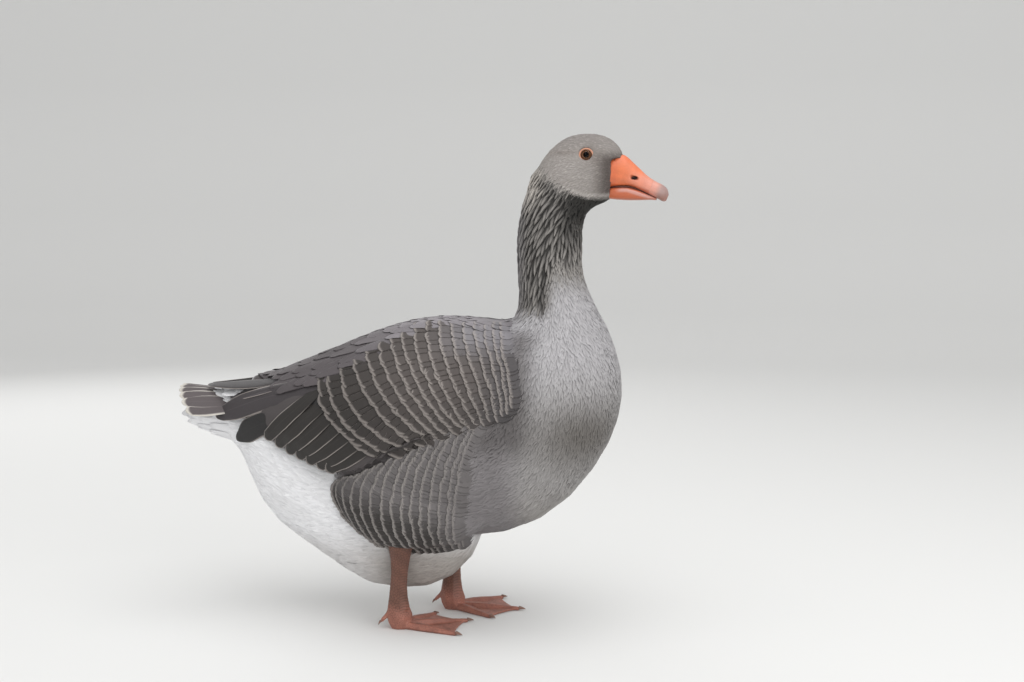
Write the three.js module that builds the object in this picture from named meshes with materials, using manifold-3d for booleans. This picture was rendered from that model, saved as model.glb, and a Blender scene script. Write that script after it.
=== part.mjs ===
// A grey farm goose of the heavy Toulouse type, standing with its neck raised: a still, life-size model.
// Millimetres. +X is forward along the bill, +Y is the bird's left, +Z is up, and it stands on Z = 0.
// The outer faces are the tips of the feathers. The bird is modelled whole and parted with thin cuts.
import * as THREE from "three";
import { mergeVertices } from "three/addons/utils/BufferGeometryUtils.js";
import Module from "manifold-3d";

const wasm = await Module();
wasm.setup();

const GAP = 0.3; // left between pieces that touch
const LEG_SPREAD = 52; // from the midline to the middle of each foot
const HIP_SPREAD = 60; // from the midline to the top of each shank
const RIGHT_FOOT_X = -28; // the right foot stands behind the left one
const LEFT_FOOT_X = 19;
const EYE_RADIUS = 9;
const TOE_LENGTH = { inner: 72, middle: 90, outer: 82 };
const TOE_SPLAY = { inner: 37, middle: 0, outer: -43 }; // degrees from the middle toe
const SHANK_TOP = 150; // inside the flank
const SHANK_FOOT = 25; // where the shank meets the foot
const TAIL_FEATHERS = 11;

const PLUMAGE_GREY = 0x8d8884;
const materials = {
  head: new THREE.MeshStandardMaterial({ color: 0x8b8581, roughness: 0.85 }),
  neck: new THREE.MeshStandardMaterial({ color: 0x77716d, roughness: 0.85 }),
  trunk: new THREE.MeshStandardMaterial({ color: PLUMAGE_GREY, roughness: 0.85 }),
  belly: new THREE.MeshStandardMaterial({ color: 0xdcdcde, roughness: 0.9 }),
  wing: new THREE.MeshStandardMaterial({ color: 0x57514d, roughness: 0.75 }),
  tail: new THREE.MeshStandardMaterial({ color: 0x7b7674, roughness: 0.75 }),
  bill: new THREE.MeshStandardMaterial({ color: 0xe5804f, roughness: 0.45 }),
  nail: new THREE.MeshStandardMaterial({ color: 0xd9b3a6, roughness: 0.4 }),
  eye: new THREE.MeshStandardMaterial({ color: 0x5b371f, roughness: 0.1 }),
  leg: new THREE.MeshStandardMaterial({ color: 0xa9614a, roughness: 0.6 }),
  claw: new THREE.MeshStandardMaterial({ color: 0xb9a898, roughness: 0.5 }),
};

// ---- Shared shape tools ----

// Every numeric field of a list of stations, at any place along it, on a smooth curve through the stations.
function stationAt(stations, place) {
  const last = stations.length - 1;
  const clamped = Math.min(Math.max(place, 0), last);
  const i = Math.min(Math.floor(clamped), last - 1);
  const f = clamped - i;
  const before = stations[Math.max(i - 1, 0)];
  const after = stations[Math.min(i + 2, last)];
  const blend = (a, b, c, d) => {
    const rise = (c - a) / 2;
    const fall = (d - b) / 2;
    return (
      b + rise * f + (3 * (c - b) - 2 * rise - fall) * f * f + (2 * (b - c) + rise + fall) * f * f * f
    );
  };
  const mixed = {};
  for (const key of Object.keys(stations[i]))
    mixed[key] = blend(before[key], stations[i][key], stations[i + 1][key], after[key]);
  return mixed;
}

// A closed solid through rings of points. pointAt(ring share, turn share) gives a THREE.Vector3.
function loft(pointAt, rings, sides) {
  const vertices = [];
  const faces = [];
  for (let i = 0; i <= rings; i++)
    for (let j = 0; j < sides; j++) vertices.push(pointAt(i / rings, j / sides));
  const at = (i, j) => i * sides + (j % sides);
  for (let i = 0; i < rings; i++)
    for (let j = 0; j < sides; j++) {
      faces.push(at(i, j), at(i + 1, j), at(i, j + 1));
      faces.push(at(i, j + 1), at(i + 1, j), at(i + 1, j + 1));
    }
  for (const ring of [0, rings]) {
    const middle = new THREE.Vector3();
    for (let j = 0; j < sides; j++) middle.addScaledVector(vertices[at(ring, j)], 1 / sides);
    const centre = vertices.push(middle) - 1;
    for (let j = 0; j < sides; j++)
      if (ring === 0) faces.push(centre, at(ring, j), at(ring, j + 1));
      else faces.push(centre, at(ring, j + 1), at(ring, j));
  }
  const geometry = new THREE.BufferGeometry().setFromPoints(vertices);
  geometry.setIndex(faces);
  return solid(geometry);
}

// A manifold-3d solid from any closed three.js geometry. One that is inside out is turned.
function solid(geometry) {
  const bare = new THREE.BufferGeometry();
  bare.setAttribute("position", geometry.getAttribute("position"));
  if (geometry.index) bare.setIndex(geometry.index);
  const merged = mergeVertices(bare, 1e-3);
  const vertProperties = merged.attributes.position.array;
  const triVerts = new Uint32Array(merged.index.array);
  const made = new wasm.Manifold(new wasm.Mesh({ numProp: 3, vertProperties, triVerts }));
  if (made.volume() > 0) return made;
  for (let i = 0; i < triVerts.length; i += 3)
    [triVerts[i + 1], triVerts[i + 2]] = [triVerts[i + 2], triVerts[i + 1]];
  return new wasm.Manifold(new wasm.Mesh({ numProp: 3, vertProperties, triVerts }));
}

// The largest piece of a solid, without the slivers that a cut can leave beside it.
const mainPiece = (made) => made.decompose().reduce((a, b) => (a.volume() > b.volume() ? a : b));

const joined = (solids) => solids.reduce((a, b) => a.add(b));

const mirrored = (made) => made.mirror([0, 1, 0]);

function box(width, depth, height, x, y, z) {
  return solid(new THREE.BoxGeometry(width, depth, height).translate(x, y, z));
}

function meshOf(name, made, material) {
  const { numProp, vertProperties, triVerts } = mainPiece(made).getMesh();
  const positions = new Float32Array((vertProperties.length / numProp) * 3);
  for (let i = 0; i < positions.length / 3; i++)
    positions.set(vertProperties.subarray(i * numProp, i * numProp + 3), i * 3);
  const geometry = new THREE.BufferGeometry();
  geometry.setAttribute("position", new THREE.BufferAttribute(positions, 3));
  geometry.setIndex(new THREE.BufferAttribute(triVerts, 1));
  geometry.computeVertexNormals();
  const mesh = new THREE.Mesh(geometry, material);
  mesh.name = name;
  return mesh;
}

// A body section spans a line in the bird's middle plane, from its under side (ux, uz) to its upper side
// (bx, bz). It is half wide to each side, widest at the share level of the line, and full above 1 is boxy.
function sectionPoint(s, turn, grow) {
  const angle = turn * 2 * Math.PI;
  const c = Math.cos(angle);
  const along = s.level + (c > 0 ? 1 - s.level : s.level) * c;
  const rise = new THREE.Vector3(s.bx - s.ux, 0, s.bz - s.uz);
  const reach = (along * rise.length() + c * grow) / rise.length();
  const side = Math.sign(Math.sin(angle)) * Math.abs(Math.sin(angle)) ** (1 / s.full);
  return new THREE.Vector3(s.ux, side * (s.half + grow), s.uz).addScaledVector(rise, reach);
}

function bodyLoft(stations, from, to, rings, sides, grow = 0) {
  const pointAt = (share, turn) =>
    sectionPoint(stationAt(stations, from + (to - from) * share), turn, grow);
  return loft(pointAt, rings, sides);
}

// The same form, larger all round by the gap and set back a little, to cut the pieces behind it with.
function cutterOf(stations, from, to, rings, sides) {
  return bodyLoft(stations, from, to, rings, sides, GAP).translate([-GAP / 2, 0, 0]);
}

// ---- Head, neck and trunk: one long form, from the root of the bill to the end of the flanks ----

const TORSO = [
  { bx: 250, bz: 599, ux: 236, uz: 549, half: 14, level: 0.45, full: 1.1 }, // inside the bill
  { bx: 247, bz: 612, ux: 228, uz: 543, half: 17.5, level: 0.45, full: 1.15 }, // forehead and chin
  { bx: 230, bz: 626, ux: 217, uz: 538, half: 22, level: 0.42, full: 1.15 },
  { bx: 206, bz: 630, ux: 208, uz: 531, half: 25.5, level: 0.4, full: 1.12 }, // crown and cheek
  { bx: 180, bz: 626, ux: 203, uz: 522, half: 28, level: 0.42, full: 1.08 },
  { bx: 157, bz: 609, ux: 201, uz: 510, half: 30, level: 0.46, full: 1.05 }, // nape and throat
  { bx: 139, bz: 583, ux: 200, uz: 496, half: 32, level: 0.5, full: 1 },
  { bx: 126, bz: 553, ux: 200, uz: 482, half: 34, level: 0.5, full: 1 },
  { bx: 117, bz: 520, ux: 200, uz: 468, half: 36, level: 0.5, full: 1 }, // middle of the neck
  { bx: 115, bz: 488, ux: 201, uz: 453, half: 38, level: 0.5, full: 1 },
  { bx: 116, bz: 458, ux: 207, uz: 435, half: 42, level: 0.5, full: 1 },
  { bx: 118, bz: 430, ux: 217, uz: 413, half: 48, level: 0.5, full: 1 },
  { bx: 117, bz: 410, ux: 231, uz: 388, half: 57, level: 0.5, full: 1 }, // root of the neck
  { bx: 112, bz: 398, ux: 243, uz: 356, half: 70, level: 0.48, full: 1.02 },
  { bx: 103, bz: 394, ux: 251, uz: 319, half: 84, level: 0.46, full: 1.04 }, // breast
  { bx: 92, bz: 394, ux: 249, uz: 282, half: 97, level: 0.46, full: 1.06 },
  { bx: 80, bz: 395, ux: 238, uz: 246, half: 107, level: 0.46, full: 1.08 },
  { bx: 66, bz: 396, ux: 216, uz: 206, half: 115, level: 0.46, full: 1.1 },
  { bx: 48, bz: 396, ux: 179, uz: 162, half: 121, level: 0.45, full: 1.1 },
  { bx: 28, bz: 395, ux: 132, uz: 130, half: 124, level: 0.44, full: 1.1 }, // widest part
  { bx: 6, bz: 392, ux: 86, uz: 118, half: 125, level: 0.43, full: 1.1 },
  { bx: -20, bz: 385, ux: 41, uz: 116, half: 123, level: 0.43, full: 1.1 }, // over the legs
  { bx: -49, bz: 374, ux: 0, uz: 119, half: 119, level: 0.43, full: 1.1 },
  { bx: -80, bz: 360, ux: -38, uz: 128, half: 112, level: 0.43, full: 1.08 },
  { bx: -107, bz: 344, ux: -72, uz: 148, half: 101, level: 0.43, full: 1.05 },
  { bx: -127, bz: 327, ux: -94, uz: 176, half: 86, level: 0.44, full: 1 },
  { bx: -141, bz: 309, ux: -108, uz: 205, half: 62, level: 0.46, full: 1 },
  { bx: -148, bz: 290, ux: -118, uz: 232, half: 30, level: 0.5, full: 1 }, // end under the wings
];
const HEAD_CUT = 5.5; // stations along TORSO where the head, the neck and the trunk are parted
const NECK_CUT = 12;
const CUT = 0.025;
const TORSO_END = TORSO.length - 1;

const headForm = bodyLoft(TORSO, 0, HEAD_CUT, 10, 20);
const neckForm = bodyLoft(TORSO, HEAD_CUT + CUT, NECK_CUT, 7, 20);

// The flank feathers swell into a lobe on each side, low over the thigh. Its slices are upright ovals at x.
const FLANK = [
  { x: 105, y: 60, z: 188, wide: 14, tall: 26 },
  { x: 78, y: 67, z: 178, wide: 31, tall: 49 },
  { x: 40, y: 71, z: 170, wide: 39, tall: 58 },
  { x: 0, y: 72, z: 166, wide: 40, tall: 58 },
  { x: -35, y: 72, z: 166, wide: 39, tall: 57 },
  { x: -65, y: 70, z: 173, wide: 34, tall: 53 },
  { x: -88, y: 67, z: 182, wide: 26, tall: 42 },
  { x: -103, y: 64, z: 188, wide: 15, tall: 25 },
  { x: -110, y: 62, z: 190, wide: 5, tall: 9 },
];

function flankLobe(side, grow) {
  const pointAt = (share, turn) => {
    const s = stationAt(FLANK, share * (FLANK.length - 1));
    const angle = turn * 2 * Math.PI;
    const y = side * (s.y + (s.wide + grow) * Math.cos(angle));
    return new THREE.Vector3(s.x, y, s.z + (s.tall + grow) * Math.sin(angle));
  };
  return loft(pointAt, 9, 12).translate([-grow / 2, 0, 0]);
}

const flankLobes = (grow) => joined([flankLobe(-1, grow), flankLobe(1, grow)]);
const trunkForm = bodyLoft(TORSO, NECK_CUT + CUT, TORSO_END, 18, 22).add(flankLobes(0));
const trunkCutter = cutterOf(TORSO, NECK_CUT + CUT, TORSO_END, 18, 22).add(flankLobes(GAP));

// ---- Belly: the white lobe that hangs between the legs, and the narrowing hind body as far as the tail ----

const HIND_BODY = [
  { bx: 66, bz: 170, ux: 68, uz: 108, half: 16, level: 0.5, full: 1 },
  { bx: 50, bz: 195, ux: 56, uz: 83, half: 33, level: 0.5, full: 1.1 },
  { bx: 25, bz: 215, ux: 31, uz: 57, half: 43, level: 0.5, full: 1.15 },
  { bx: -5, bz: 235, ux: -2, uz: 42, half: 50, level: 0.5, full: 1.15 }, // lowest part of the belly
  { bx: -40, bz: 255, ux: -39, uz: 38, half: 57, level: 0.5, full: 1.12 },
  { bx: -75, bz: 280, ux: -76, uz: 43, half: 67, level: 0.5, full: 1.1 },
  { bx: -105, bz: 300, ux: -105, uz: 59, half: 77, level: 0.5, full: 1.08 },
  { bx: -135, bz: 308, ux: -134, uz: 79, half: 83, level: 0.5, full: 1.05 },
  { bx: -160, bz: 310, ux: -164, uz: 99, half: 81, level: 0.5, full: 1.05 },
  { bx: -184, bz: 308, ux: -195, uz: 120, half: 73, level: 0.5, full: 1.05 },
  { bx: -204, bz: 304, ux: -220, uz: 149, half: 63, level: 0.5, full: 1.05 },
  { bx: -222, bz: 300, ux: -236, uz: 181, half: 52, level: 0.5, full: 1.05 }, // vent
  { bx: -240, bz: 296, ux: -249, uz: 210, half: 42, level: 0.5, full: 1.05 },
  { bx: -260, bz: 293, ux: -267, uz: 230, half: 35, level: 0.5, full: 1.05 }, // root of the tail
];
const HIND_END = HIND_BODY.length - 1;
const hindForm = bodyLoft(HIND_BODY, 0, HIND_END, 13, 16);
const hindCutter = cutterOf(HIND_BODY, 0, HIND_END, 13, 16);

// ---- Wings: folded shells over the trunk, from the wrist to the tips of the long feathers ----

// Each station is an upright slice at x through the right wing. The slice is part of an oval round (0, mid),
// across by wide and up by tall, from its top edge to its low edge in degrees from straight up.
const WING = [
  { x: 128, mid: 302, wide: 91, tall: 64, top: 62, low: 84, thick: 3 }, // wrist
  { x: 118, mid: 294, wide: 105, tall: 88, top: 42, low: 92, thick: 6 },
  { x: 100, mid: 283, wide: 115, tall: 109, top: 28, low: 95, thick: 8 },
  { x: 70, mid: 268, wide: 123, tall: 128, top: 17, low: 90, thick: 9 }, // shoulder
  { x: 35, mid: 258, wide: 127, tall: 138, top: 10, low: 90, thick: 9 },
  { x: 0, mid: 252, wide: 128, tall: 142, top: 7, low: 93, thick: 9 },
  { x: -40, mid: 246, wide: 125, tall: 139, top: 5, low: 100, thick: 10 },
  { x: -80, mid: 242, wide: 117, tall: 128, top: 4, low: 107, thick: 11 },
  { x: -115, mid: 244, wide: 106, tall: 110, top: 3, low: 108, thick: 12 }, // tips of the secondaries
  { x: -150, mid: 250, wide: 93, tall: 89, top: 3, low: 107, thick: 12 },
  { x: -185, mid: 258, wide: 77, tall: 68, top: 4, low: 106, thick: 10 },
  { x: -215, mid: 264, wide: 62, tall: 53, top: 5, low: 100, thick: 6 },
  { x: -238, mid: 268, wide: 50, tall: 43, top: 8, low: 90, thick: 2.5 },
];
const WING_EDGE = 0.3; // the share of its thickness that a wing keeps at its edges
const WING_INNER = 14; // how far the inside of the slice lies within its oval, before the body is cut away

function wingPoint(share, turn) {
  const s = stationAt(WING, share * (WING.length - 1));
  const outward = turn <= 0.5;
  const across = outward ? turn * 2 : 2 - turn * 2; // 0 at the top edge and 1 at the low edge
  const angle = THREE.MathUtils.degToRad(s.top + (s.low - s.top) * across);
  const swell = Math.sin(Math.PI * across) ** 0.5;
  const depth = outward ? s.thick * (WING_EDGE + (1 - WING_EDGE) * swell) : -WING_INNER * swell;
  return new THREE.Vector3(
    s.x,
    -(s.wide + depth) * Math.sin(angle),
    s.mid + (s.tall + depth) * Math.cos(angle),
  );
}

// A long feather: a flat blade from root to tip, cupped downwards and with a rounded end.
function blade(root, tip, width, thick, face, bend = 0, rings = 5) {
  const along = new THREE.Vector3().subVectors(tip, root);
  const across = new THREE.Vector3().crossVectors(face, along).normalize();
  const up = new THREE.Vector3().crossVectors(along, across).normalize();
  const pointAt = (share, turn) => {
    const angle = turn * 2 * Math.PI;
    const taper = Math.sqrt(Math.max(1 - (0.06 + 0.94 * share) ** 5, 0.02)) * (0.72 + 0.28 * share);
    const side = Math.cos(angle) * (width / 2) * taper;
    const cup = -0.07 * (side * side) / (width / 2);
    const level = bend * Math.sin(Math.PI * share) + cup + Math.sin(angle) * (thick / 2);
    return new THREE.Vector3()
      .copy(root)
      .addScaledVector(along, share)
      .addScaledVector(across, side)
      .addScaledVector(up, level);
  };
  return loft(pointAt, rings, 6);
}

const LONG_FEATHERS = [
  // tertials and primaries that pass the end of the shell, from the lowest to the highest
  { root: [-120, -84, 262], tip: [-243, -50, 238], width: 34, out: [-0.2, -0.85, 0.5], bend: 4 },
  { root: [-120, -72, 298], tip: [-276, -36, 263], width: 38, out: [-0.2, -0.75, 0.65], bend: 4 },
  { root: [-130, -50, 324], tip: [-262, -24, 292], width: 32, out: [-0.15, -0.5, 0.85], bend: 3 },
  { root: [-140, -26, 330], tip: [-298, -7, 304], width: 26, out: [-0.1, -0.25, 0.95], bend: 2 },
];

function wingBlank() {
  const shell = loft((share, turn) => wingPoint(share, turn), 13, 14);
  const feathers = LONG_FEATHERS.map((f) =>
    blade(
      new THREE.Vector3(...f.root),
      new THREE.Vector3(...f.tip),
      f.width,
      3,
      new THREE.Vector3(...f.out).normalize(),
      f.bend,
    ),
  );
  const middle = box(700, 200, 700, -100, 100 - GAP, 300); // keeps this wing on its own side
  return joined([shell, ...feathers]).subtract(middle);
}

const wingForms = [wingBlank(), mirrored(wingBlank())].map((blank) =>
  mainPiece(blank.subtract(trunkCutter).subtract(hindCutter)),
);

// ---- Tail: a shallow fan of long feathers over a wedge of white coverts ----

const TAIL_ROOT = new THREE.Vector3(-222, 0, 287);
const TAIL_REACH = 116; // from the root to the tip of a middle feather
const TAIL_SPREAD = 34; // degrees to each side
const TAIL_ARCH = 28; // how far the outer feathers droop

function tailFeather(k) {
  const side = k / ((TAIL_FEATHERS - 1) / 2); // -1 to 1
  const angle = THREE.MathUtils.degToRad(side * TAIL_SPREAD);
  const reach = TAIL_REACH * (1 - 0.07 * side * side);
  const tip = new THREE.Vector3(
    TAIL_ROOT.x - reach * Math.cos(angle),
    reach * Math.sin(angle),
    TAIL_ROOT.z + 16 - TAIL_ARCH * side * side,
  );
  const root = new THREE.Vector3(TAIL_ROOT.x - 12, 12 * side, TAIL_ROOT.z - Math.abs(side) * 8);
  const face = new THREE.Vector3(0.15, side * 0.45, 1).normalize();
  return blade(root, tip, 28, 2.4, face, 0, 4);
}

const COVERTS = [
  { bx: -255, bz: 294, ux: -264, uz: 229, half: 34, level: 0.55, full: 1.05 },
  { bx: -276, bz: 296, ux: -286, uz: 236, half: 34, level: 0.6, full: 1 },
  { bx: -296, bz: 294, ux: -306, uz: 243, half: 31, level: 0.65, full: 1 },
  { bx: -312, bz: 288, ux: -322, uz: 249, half: 24, level: 0.7, full: 1 },
  { bx: -324, bz: 275, ux: -331, uz: 254, half: 11, level: 0.5, full: 1 },
];

function tailForm() {
  const feathers = [];
  const half = (TAIL_FEATHERS - 1) / 2;
  for (let k = -half; k <= half; k++) feathers.push(tailFeather(k));
  const coverts = bodyLoft(COVERTS, 0, COVERTS.length - 1, 5, 12);
  return joined([coverts, ...feathers]);
}

// ---- Legs: a shank and a webbed foot on each side. The shapes are the right leg's ----

const SHANK = [
  { x: 2, y: 0, z: SHANK_TOP, long: 17, wide: 13 },
  { x: 3, y: 0, z: 118, long: 17, wide: 12.5 }, // heel joint
  { x: 3, y: 0, z: 100, long: 14.5, wide: 11 },
  { x: 2, y: 0, z: 82, long: 11.5, wide: 8.5 },
  { x: 0, y: 0, z: 62, long: 11, wide: 8 },
  { x: -1, y: 0, z: 44, long: 12, wide: 9 },
  { x: -1, y: 0, z: SHANK_FOOT, long: 15, wide: 12 },
];

function shankForm(footX, side, grow = 0) {
  const lean = (z) => LEG_SPREAD + ((HIP_SPREAD - LEG_SPREAD) * (z - SHANK_FOOT)) / 100;
  const pointAt = (share, turn) => {
    const s = stationAt(SHANK, share * (SHANK.length - 1));
    const angle = turn * 2 * Math.PI;
    return new THREE.Vector3(
      footX + s.x + (s.long + grow) * Math.cos(angle),
      side * (lean(s.z) + (s.wide + grow) * Math.sin(angle)),
      s.z + (share > 0.99 ? GAP - grow : 0),
    );
  };
  return loft(pointAt, 7, 10);
}

// A toe along +X from the ankle, with a knuckle at each joint and a flat sole.
function toe(length, wide, high, knuckles) {
  const pointAt = (share, turn) => {
    const angle = turn * 2 * Math.PI;
    const taper = 1 - 0.42 * share;
    const knuckle = 1 + 0.1 * Math.cos(share * knuckles * 2 * Math.PI);
    const end = share > 0.93 ? 0.8 : 1;
    const rise = high * (1 - 0.55 * share) * knuckle * end;
    const up = Math.max(Math.sin(angle) * rise, -rise * 0.45);
    return new THREE.Vector3(
      length * share,
      (wide / 2) * taper * knuckle * end * Math.cos(angle),
      rise * 0.45 + up,
    );
  };
  return loft(pointAt, 5, 6);
}

const WEB_THICK = 2.2;
const WEB_RISE = 0.6; // the web clears the floor and the toes stand on it

// The skin between two toes. Its free edge is hollow.
function web(lengthA, degreesA, lengthB, degreesB) {
  const a = new THREE.Vector2(lengthA * 0.96, 0).rotateAround(new THREE.Vector2(), degreesA);
  const b = new THREE.Vector2(lengthB * 0.96, 0).rotateAround(new THREE.Vector2(), degreesB);
  const hollow = new THREE.Vector2().addVectors(a, b).multiplyScalar(0.47);
  const shape = new THREE.Shape();
  shape.moveTo(-2, 0);
  shape.lineTo(a.x, a.y);
  shape.quadraticCurveTo(hollow.x, hollow.y, b.x, b.y);
  shape.lineTo(-2, 0);
  const settings = { depth: WEB_THICK, bevelEnabled: false, curveSegments: 5 };
  return solid(new THREE.ExtrudeGeometry(shape, settings).translate(0, 0, WEB_RISE));
}

// Turns a shape of the foot's own frame about the ankle and sets it down on the floor.
function setFoot(made, footX, side, turnDegrees) {
  const turned = made.rotate([0, 0, turnDegrees]).translate([footX, -LEG_SPREAD, 0]);
  return side < 0 ? turned : turned.mirror([0, 1, 0]);
}

const HIND_TOE = { length: 19, wide: 9, high: 6, drop: 38, lift: 21 };

function hindToe() {
  const { length, wide, high, drop, lift } = HIND_TOE;
  return toe(length, wide, high, 1).rotate([0, drop, 180]).translate([-8, 0, lift]);
}

function footForm(footX, side, turnDegrees) {
  const toes = Object.keys(TOE_LENGTH).map((name) =>
    toe(TOE_LENGTH[name], 15, 8.5, name === "inner" ? 2 : 3).rotate([0, 0, TOE_SPLAY[name]]),
  );
  const radians = THREE.MathUtils.degToRad;
  const webs = ["inner", "outer"].map((name) =>
    web(TOE_LENGTH.middle, 0, TOE_LENGTH[name], radians(TOE_SPLAY[name])),
  );
  const ankle = loft(
    (share, turn) => {
      const angle = turn * 2 * Math.PI;
      const long = 15 + 3 * Math.sin(Math.PI * share) - 2 * (1 - share);
      const wide = 12 + 2 * Math.sin(Math.PI * share) - 1 * (1 - share);
      return new THREE.Vector3(
        -1 + 3 * (1 - share) + long * Math.cos(angle),
        wide * Math.sin(angle),
        share * SHANK_FOOT,
      );
    },
    3,
    9,
  );
  const foot = joined([...toes, ...webs, ankle, hindToe()]);
  const floor = box(400, 400, 60, 0, 0, -30);
  return setFoot(foot.subtract(floor), footX, side, turnDegrees);
}

// A claw: a short curved cone past the end of its toe.
function clawForm(length, wide) {
  return loft(
    (share, turn) => {
      const angle = turn * 2 * Math.PI;
      const size = (wide / 2) * (1 - 0.82 * share);
      return new THREE.Vector3(
        length * share,
        size * Math.cos(angle),
        3.4 - 1.7 * share * share + size * 0.8 * Math.sin(angle),
      );
    },
    2,
    5,
  );
}

const CLAW_LENGTH = 9;

function clawOf(toeName) {
  if (toeName === "hind") {
    const { length, drop, lift } = HIND_TOE;
    const claw = clawForm(6, 4.5).translate([length + GAP, 0, -1.2]);
    return claw.rotate([0, drop, 180]).translate([-8, 0, lift]);
  }
  const claw = clawForm(CLAW_LENGTH, 6.4).translate([TOE_LENGTH[toeName] + GAP, 0, 0]);
  return claw.rotate([0, 0, TOE_SPLAY[toeName]]);
}

const LEGS = [
  { name: "right", side: -1, footX: RIGHT_FOOT_X, turn: 27 },
  { name: "left", side: 1, footX: LEFT_FOOT_X, turn: -3 },
];
const legCutter = joined(LEGS.map((leg) => shankForm(leg.footX, leg.side, GAP)));

// ---- Bill: an upper and a lower half with the nail at the tip ----

const UPPER_BILL = [
  { bx: 229, bz: 598, ux: 227, uz: 561, half: 15.8, level: 0.34, full: 1.12 }, // root, under the feathers
  { bx: 240, bz: 601, ux: 238, uz: 562, half: 16.6, level: 0.34, full: 1.12 },
  { bx: 252, bz: 602, ux: 248, uz: 562.5, half: 16, level: 0.32, full: 1.08 },
  { bx: 266, bz: 590, ux: 260, uz: 562.5, half: 14.8, level: 0.32, full: 1.1 }, // nostril
  { bx: 280, bz: 577, ux: 272, uz: 558, half: 13.4, level: 0.34, full: 1.15 },
  { bx: 291, bz: 569.5, ux: 284, uz: 552.5, half: 12.2, level: 0.4, full: 1.2 }, // start of the nail
  { bx: 300, bz: 565, ux: 294, uz: 547.5, half: 10.4, level: 0.45, full: 1.25 },
  { bx: 305.5, bz: 560, ux: 300, uz: 544.5, half: 7.4, level: 0.5, full: 1.2 },
  { bx: 307.5, bz: 553, ux: 304, uz: 545, half: 3, level: 0.5, full: 1 }, // tip of the hook
];
const NAIL_PLACE = 4.9; // stations along UPPER_BILL where the nail starts
const LOWER_BILL = [
  { bx: 229, bz: 560.5, ux: 229, uz: 548.5, half: 13.6, level: 0.7, full: 1.2 },
  { bx: 240, bz: 561.7, ux: 240, uz: 547, half: 14.2, level: 0.7, full: 1.2 },
  { bx: 256, bz: 562, ux: 256, uz: 546, half: 13.4, level: 0.7, full: 1.2 },
  { bx: 270, bz: 558.3, ux: 270, uz: 546, half: 11.8, level: 0.7, full: 1.2 },
  { bx: 283, bz: 552.4, ux: 283, uz: 546.3, half: 9.8, level: 0.6, full: 1.2 },
  { bx: 292, bz: 548.6, ux: 292, uz: 546, half: 6.5, level: 0.5, full: 1 },
];

// A nostril is a slanted oval pit in each side of the upper bill.
function nostrils() {
  const pit = (side) =>
    solid(
      new THREE.SphereGeometry(1, 8, 5)
        .scale(5, 3, 2.4)
        .rotateY(THREE.MathUtils.degToRad(20))
        .translate(264.5, side * 13.2, 575.5),
    );
  return joined([pit(-1), pit(1)]);
}

const upperEnd = UPPER_BILL.length - 1;
const upperBill = bodyLoft(UPPER_BILL, 0, NAIL_PLACE, 8, 14).subtract(nostrils());
const nail = bodyLoft(UPPER_BILL, NAIL_PLACE + 0.04, upperEnd, 5, 12);
const lowerBlank = bodyLoft(LOWER_BILL, 0, LOWER_BILL.length - 1, 6, 12);
const nailCutter = cutterOf(UPPER_BILL, NAIL_PLACE, upperEnd, 5, 12);
const upperCutter = cutterOf(UPPER_BILL, 0, NAIL_PLACE, 8, 14).add(nailCutter);
const lowerBill = lowerBlank.subtract(upperCutter);
const billCutter = upperCutter.add(cutterOf(LOWER_BILL, 0, LOWER_BILL.length - 1, 6, 12));

// ---- Eyes: glossy globes set in sockets behind the brow ----

const EYE = { x: 205.5, y: 14.8, z: 602 };

function globe(side, radius) {
  return solid(new THREE.SphereGeometry(radius, 12, 7).translate(EYE.x, side * EYE.y, EYE.z));
}

const sockets = joined([globe(-1, EYE_RADIUS + GAP), globe(1, EYE_RADIUS + GAP)]);

// ---- The whole bird ----

const goose = new THREE.Group();
goose.add(
  meshOf("head", headForm.subtract(sockets).subtract(billCutter), materials.head),
  meshOf("neck", neckForm, materials.neck),
  meshOf("trunk", trunkForm, materials.trunk),
  meshOf("belly", hindForm.subtract(trunkCutter).subtract(legCutter), materials.belly),
  meshOf("wing_right", wingForms[0], materials.wing),
  meshOf("wing_left", wingForms[1], materials.wing),
  meshOf("bill_upper", upperBill, materials.bill),
  meshOf("bill_nail", nail, materials.nail),
  meshOf("bill_lower", lowerBill, materials.bill),
  meshOf("eye_right", globe(-1, EYE_RADIUS), materials.eye),
  meshOf("eye_left", globe(1, EYE_RADIUS), materials.eye),
);

goose.add(meshOf("tail", tailForm().subtract(hindCutter).subtract(joined(wingForms)), materials.tail));

for (const { name, side, footX, turn } of LEGS) {
  const shank = shankForm(footX, side).subtract(trunkCutter);
  goose.add(meshOf(`shank_${name}`, shank, materials.leg));
  goose.add(meshOf(`foot_${name}`, footForm(footX, side, turn).subtract(legCutter), materials.leg));
  for (const toeName of ["inner", "middle", "outer", "hind"]) {
    const claw = setFoot(clawOf(toeName), footX, side, turn);
    goose.add(meshOf(`claw_${name}_${toeName}`, claw, materials.claw));
  }
}

// The origin is the middle of the bird's footprint on the floor.
const bounds = new THREE.Box3().setFromObject(goose);
goose.position.set(-(bounds.min.x + bounds.max.x) / 2, -(bounds.min.y + bounds.max.y) / 2, -bounds.min.z);

export default goose;
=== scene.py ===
import math
from functools import partial

import bmesh
import bpy
import numpy as np
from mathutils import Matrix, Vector
from mathutils.bvhtree import BVHTree
from mathutils.kdtree import KDTree


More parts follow.
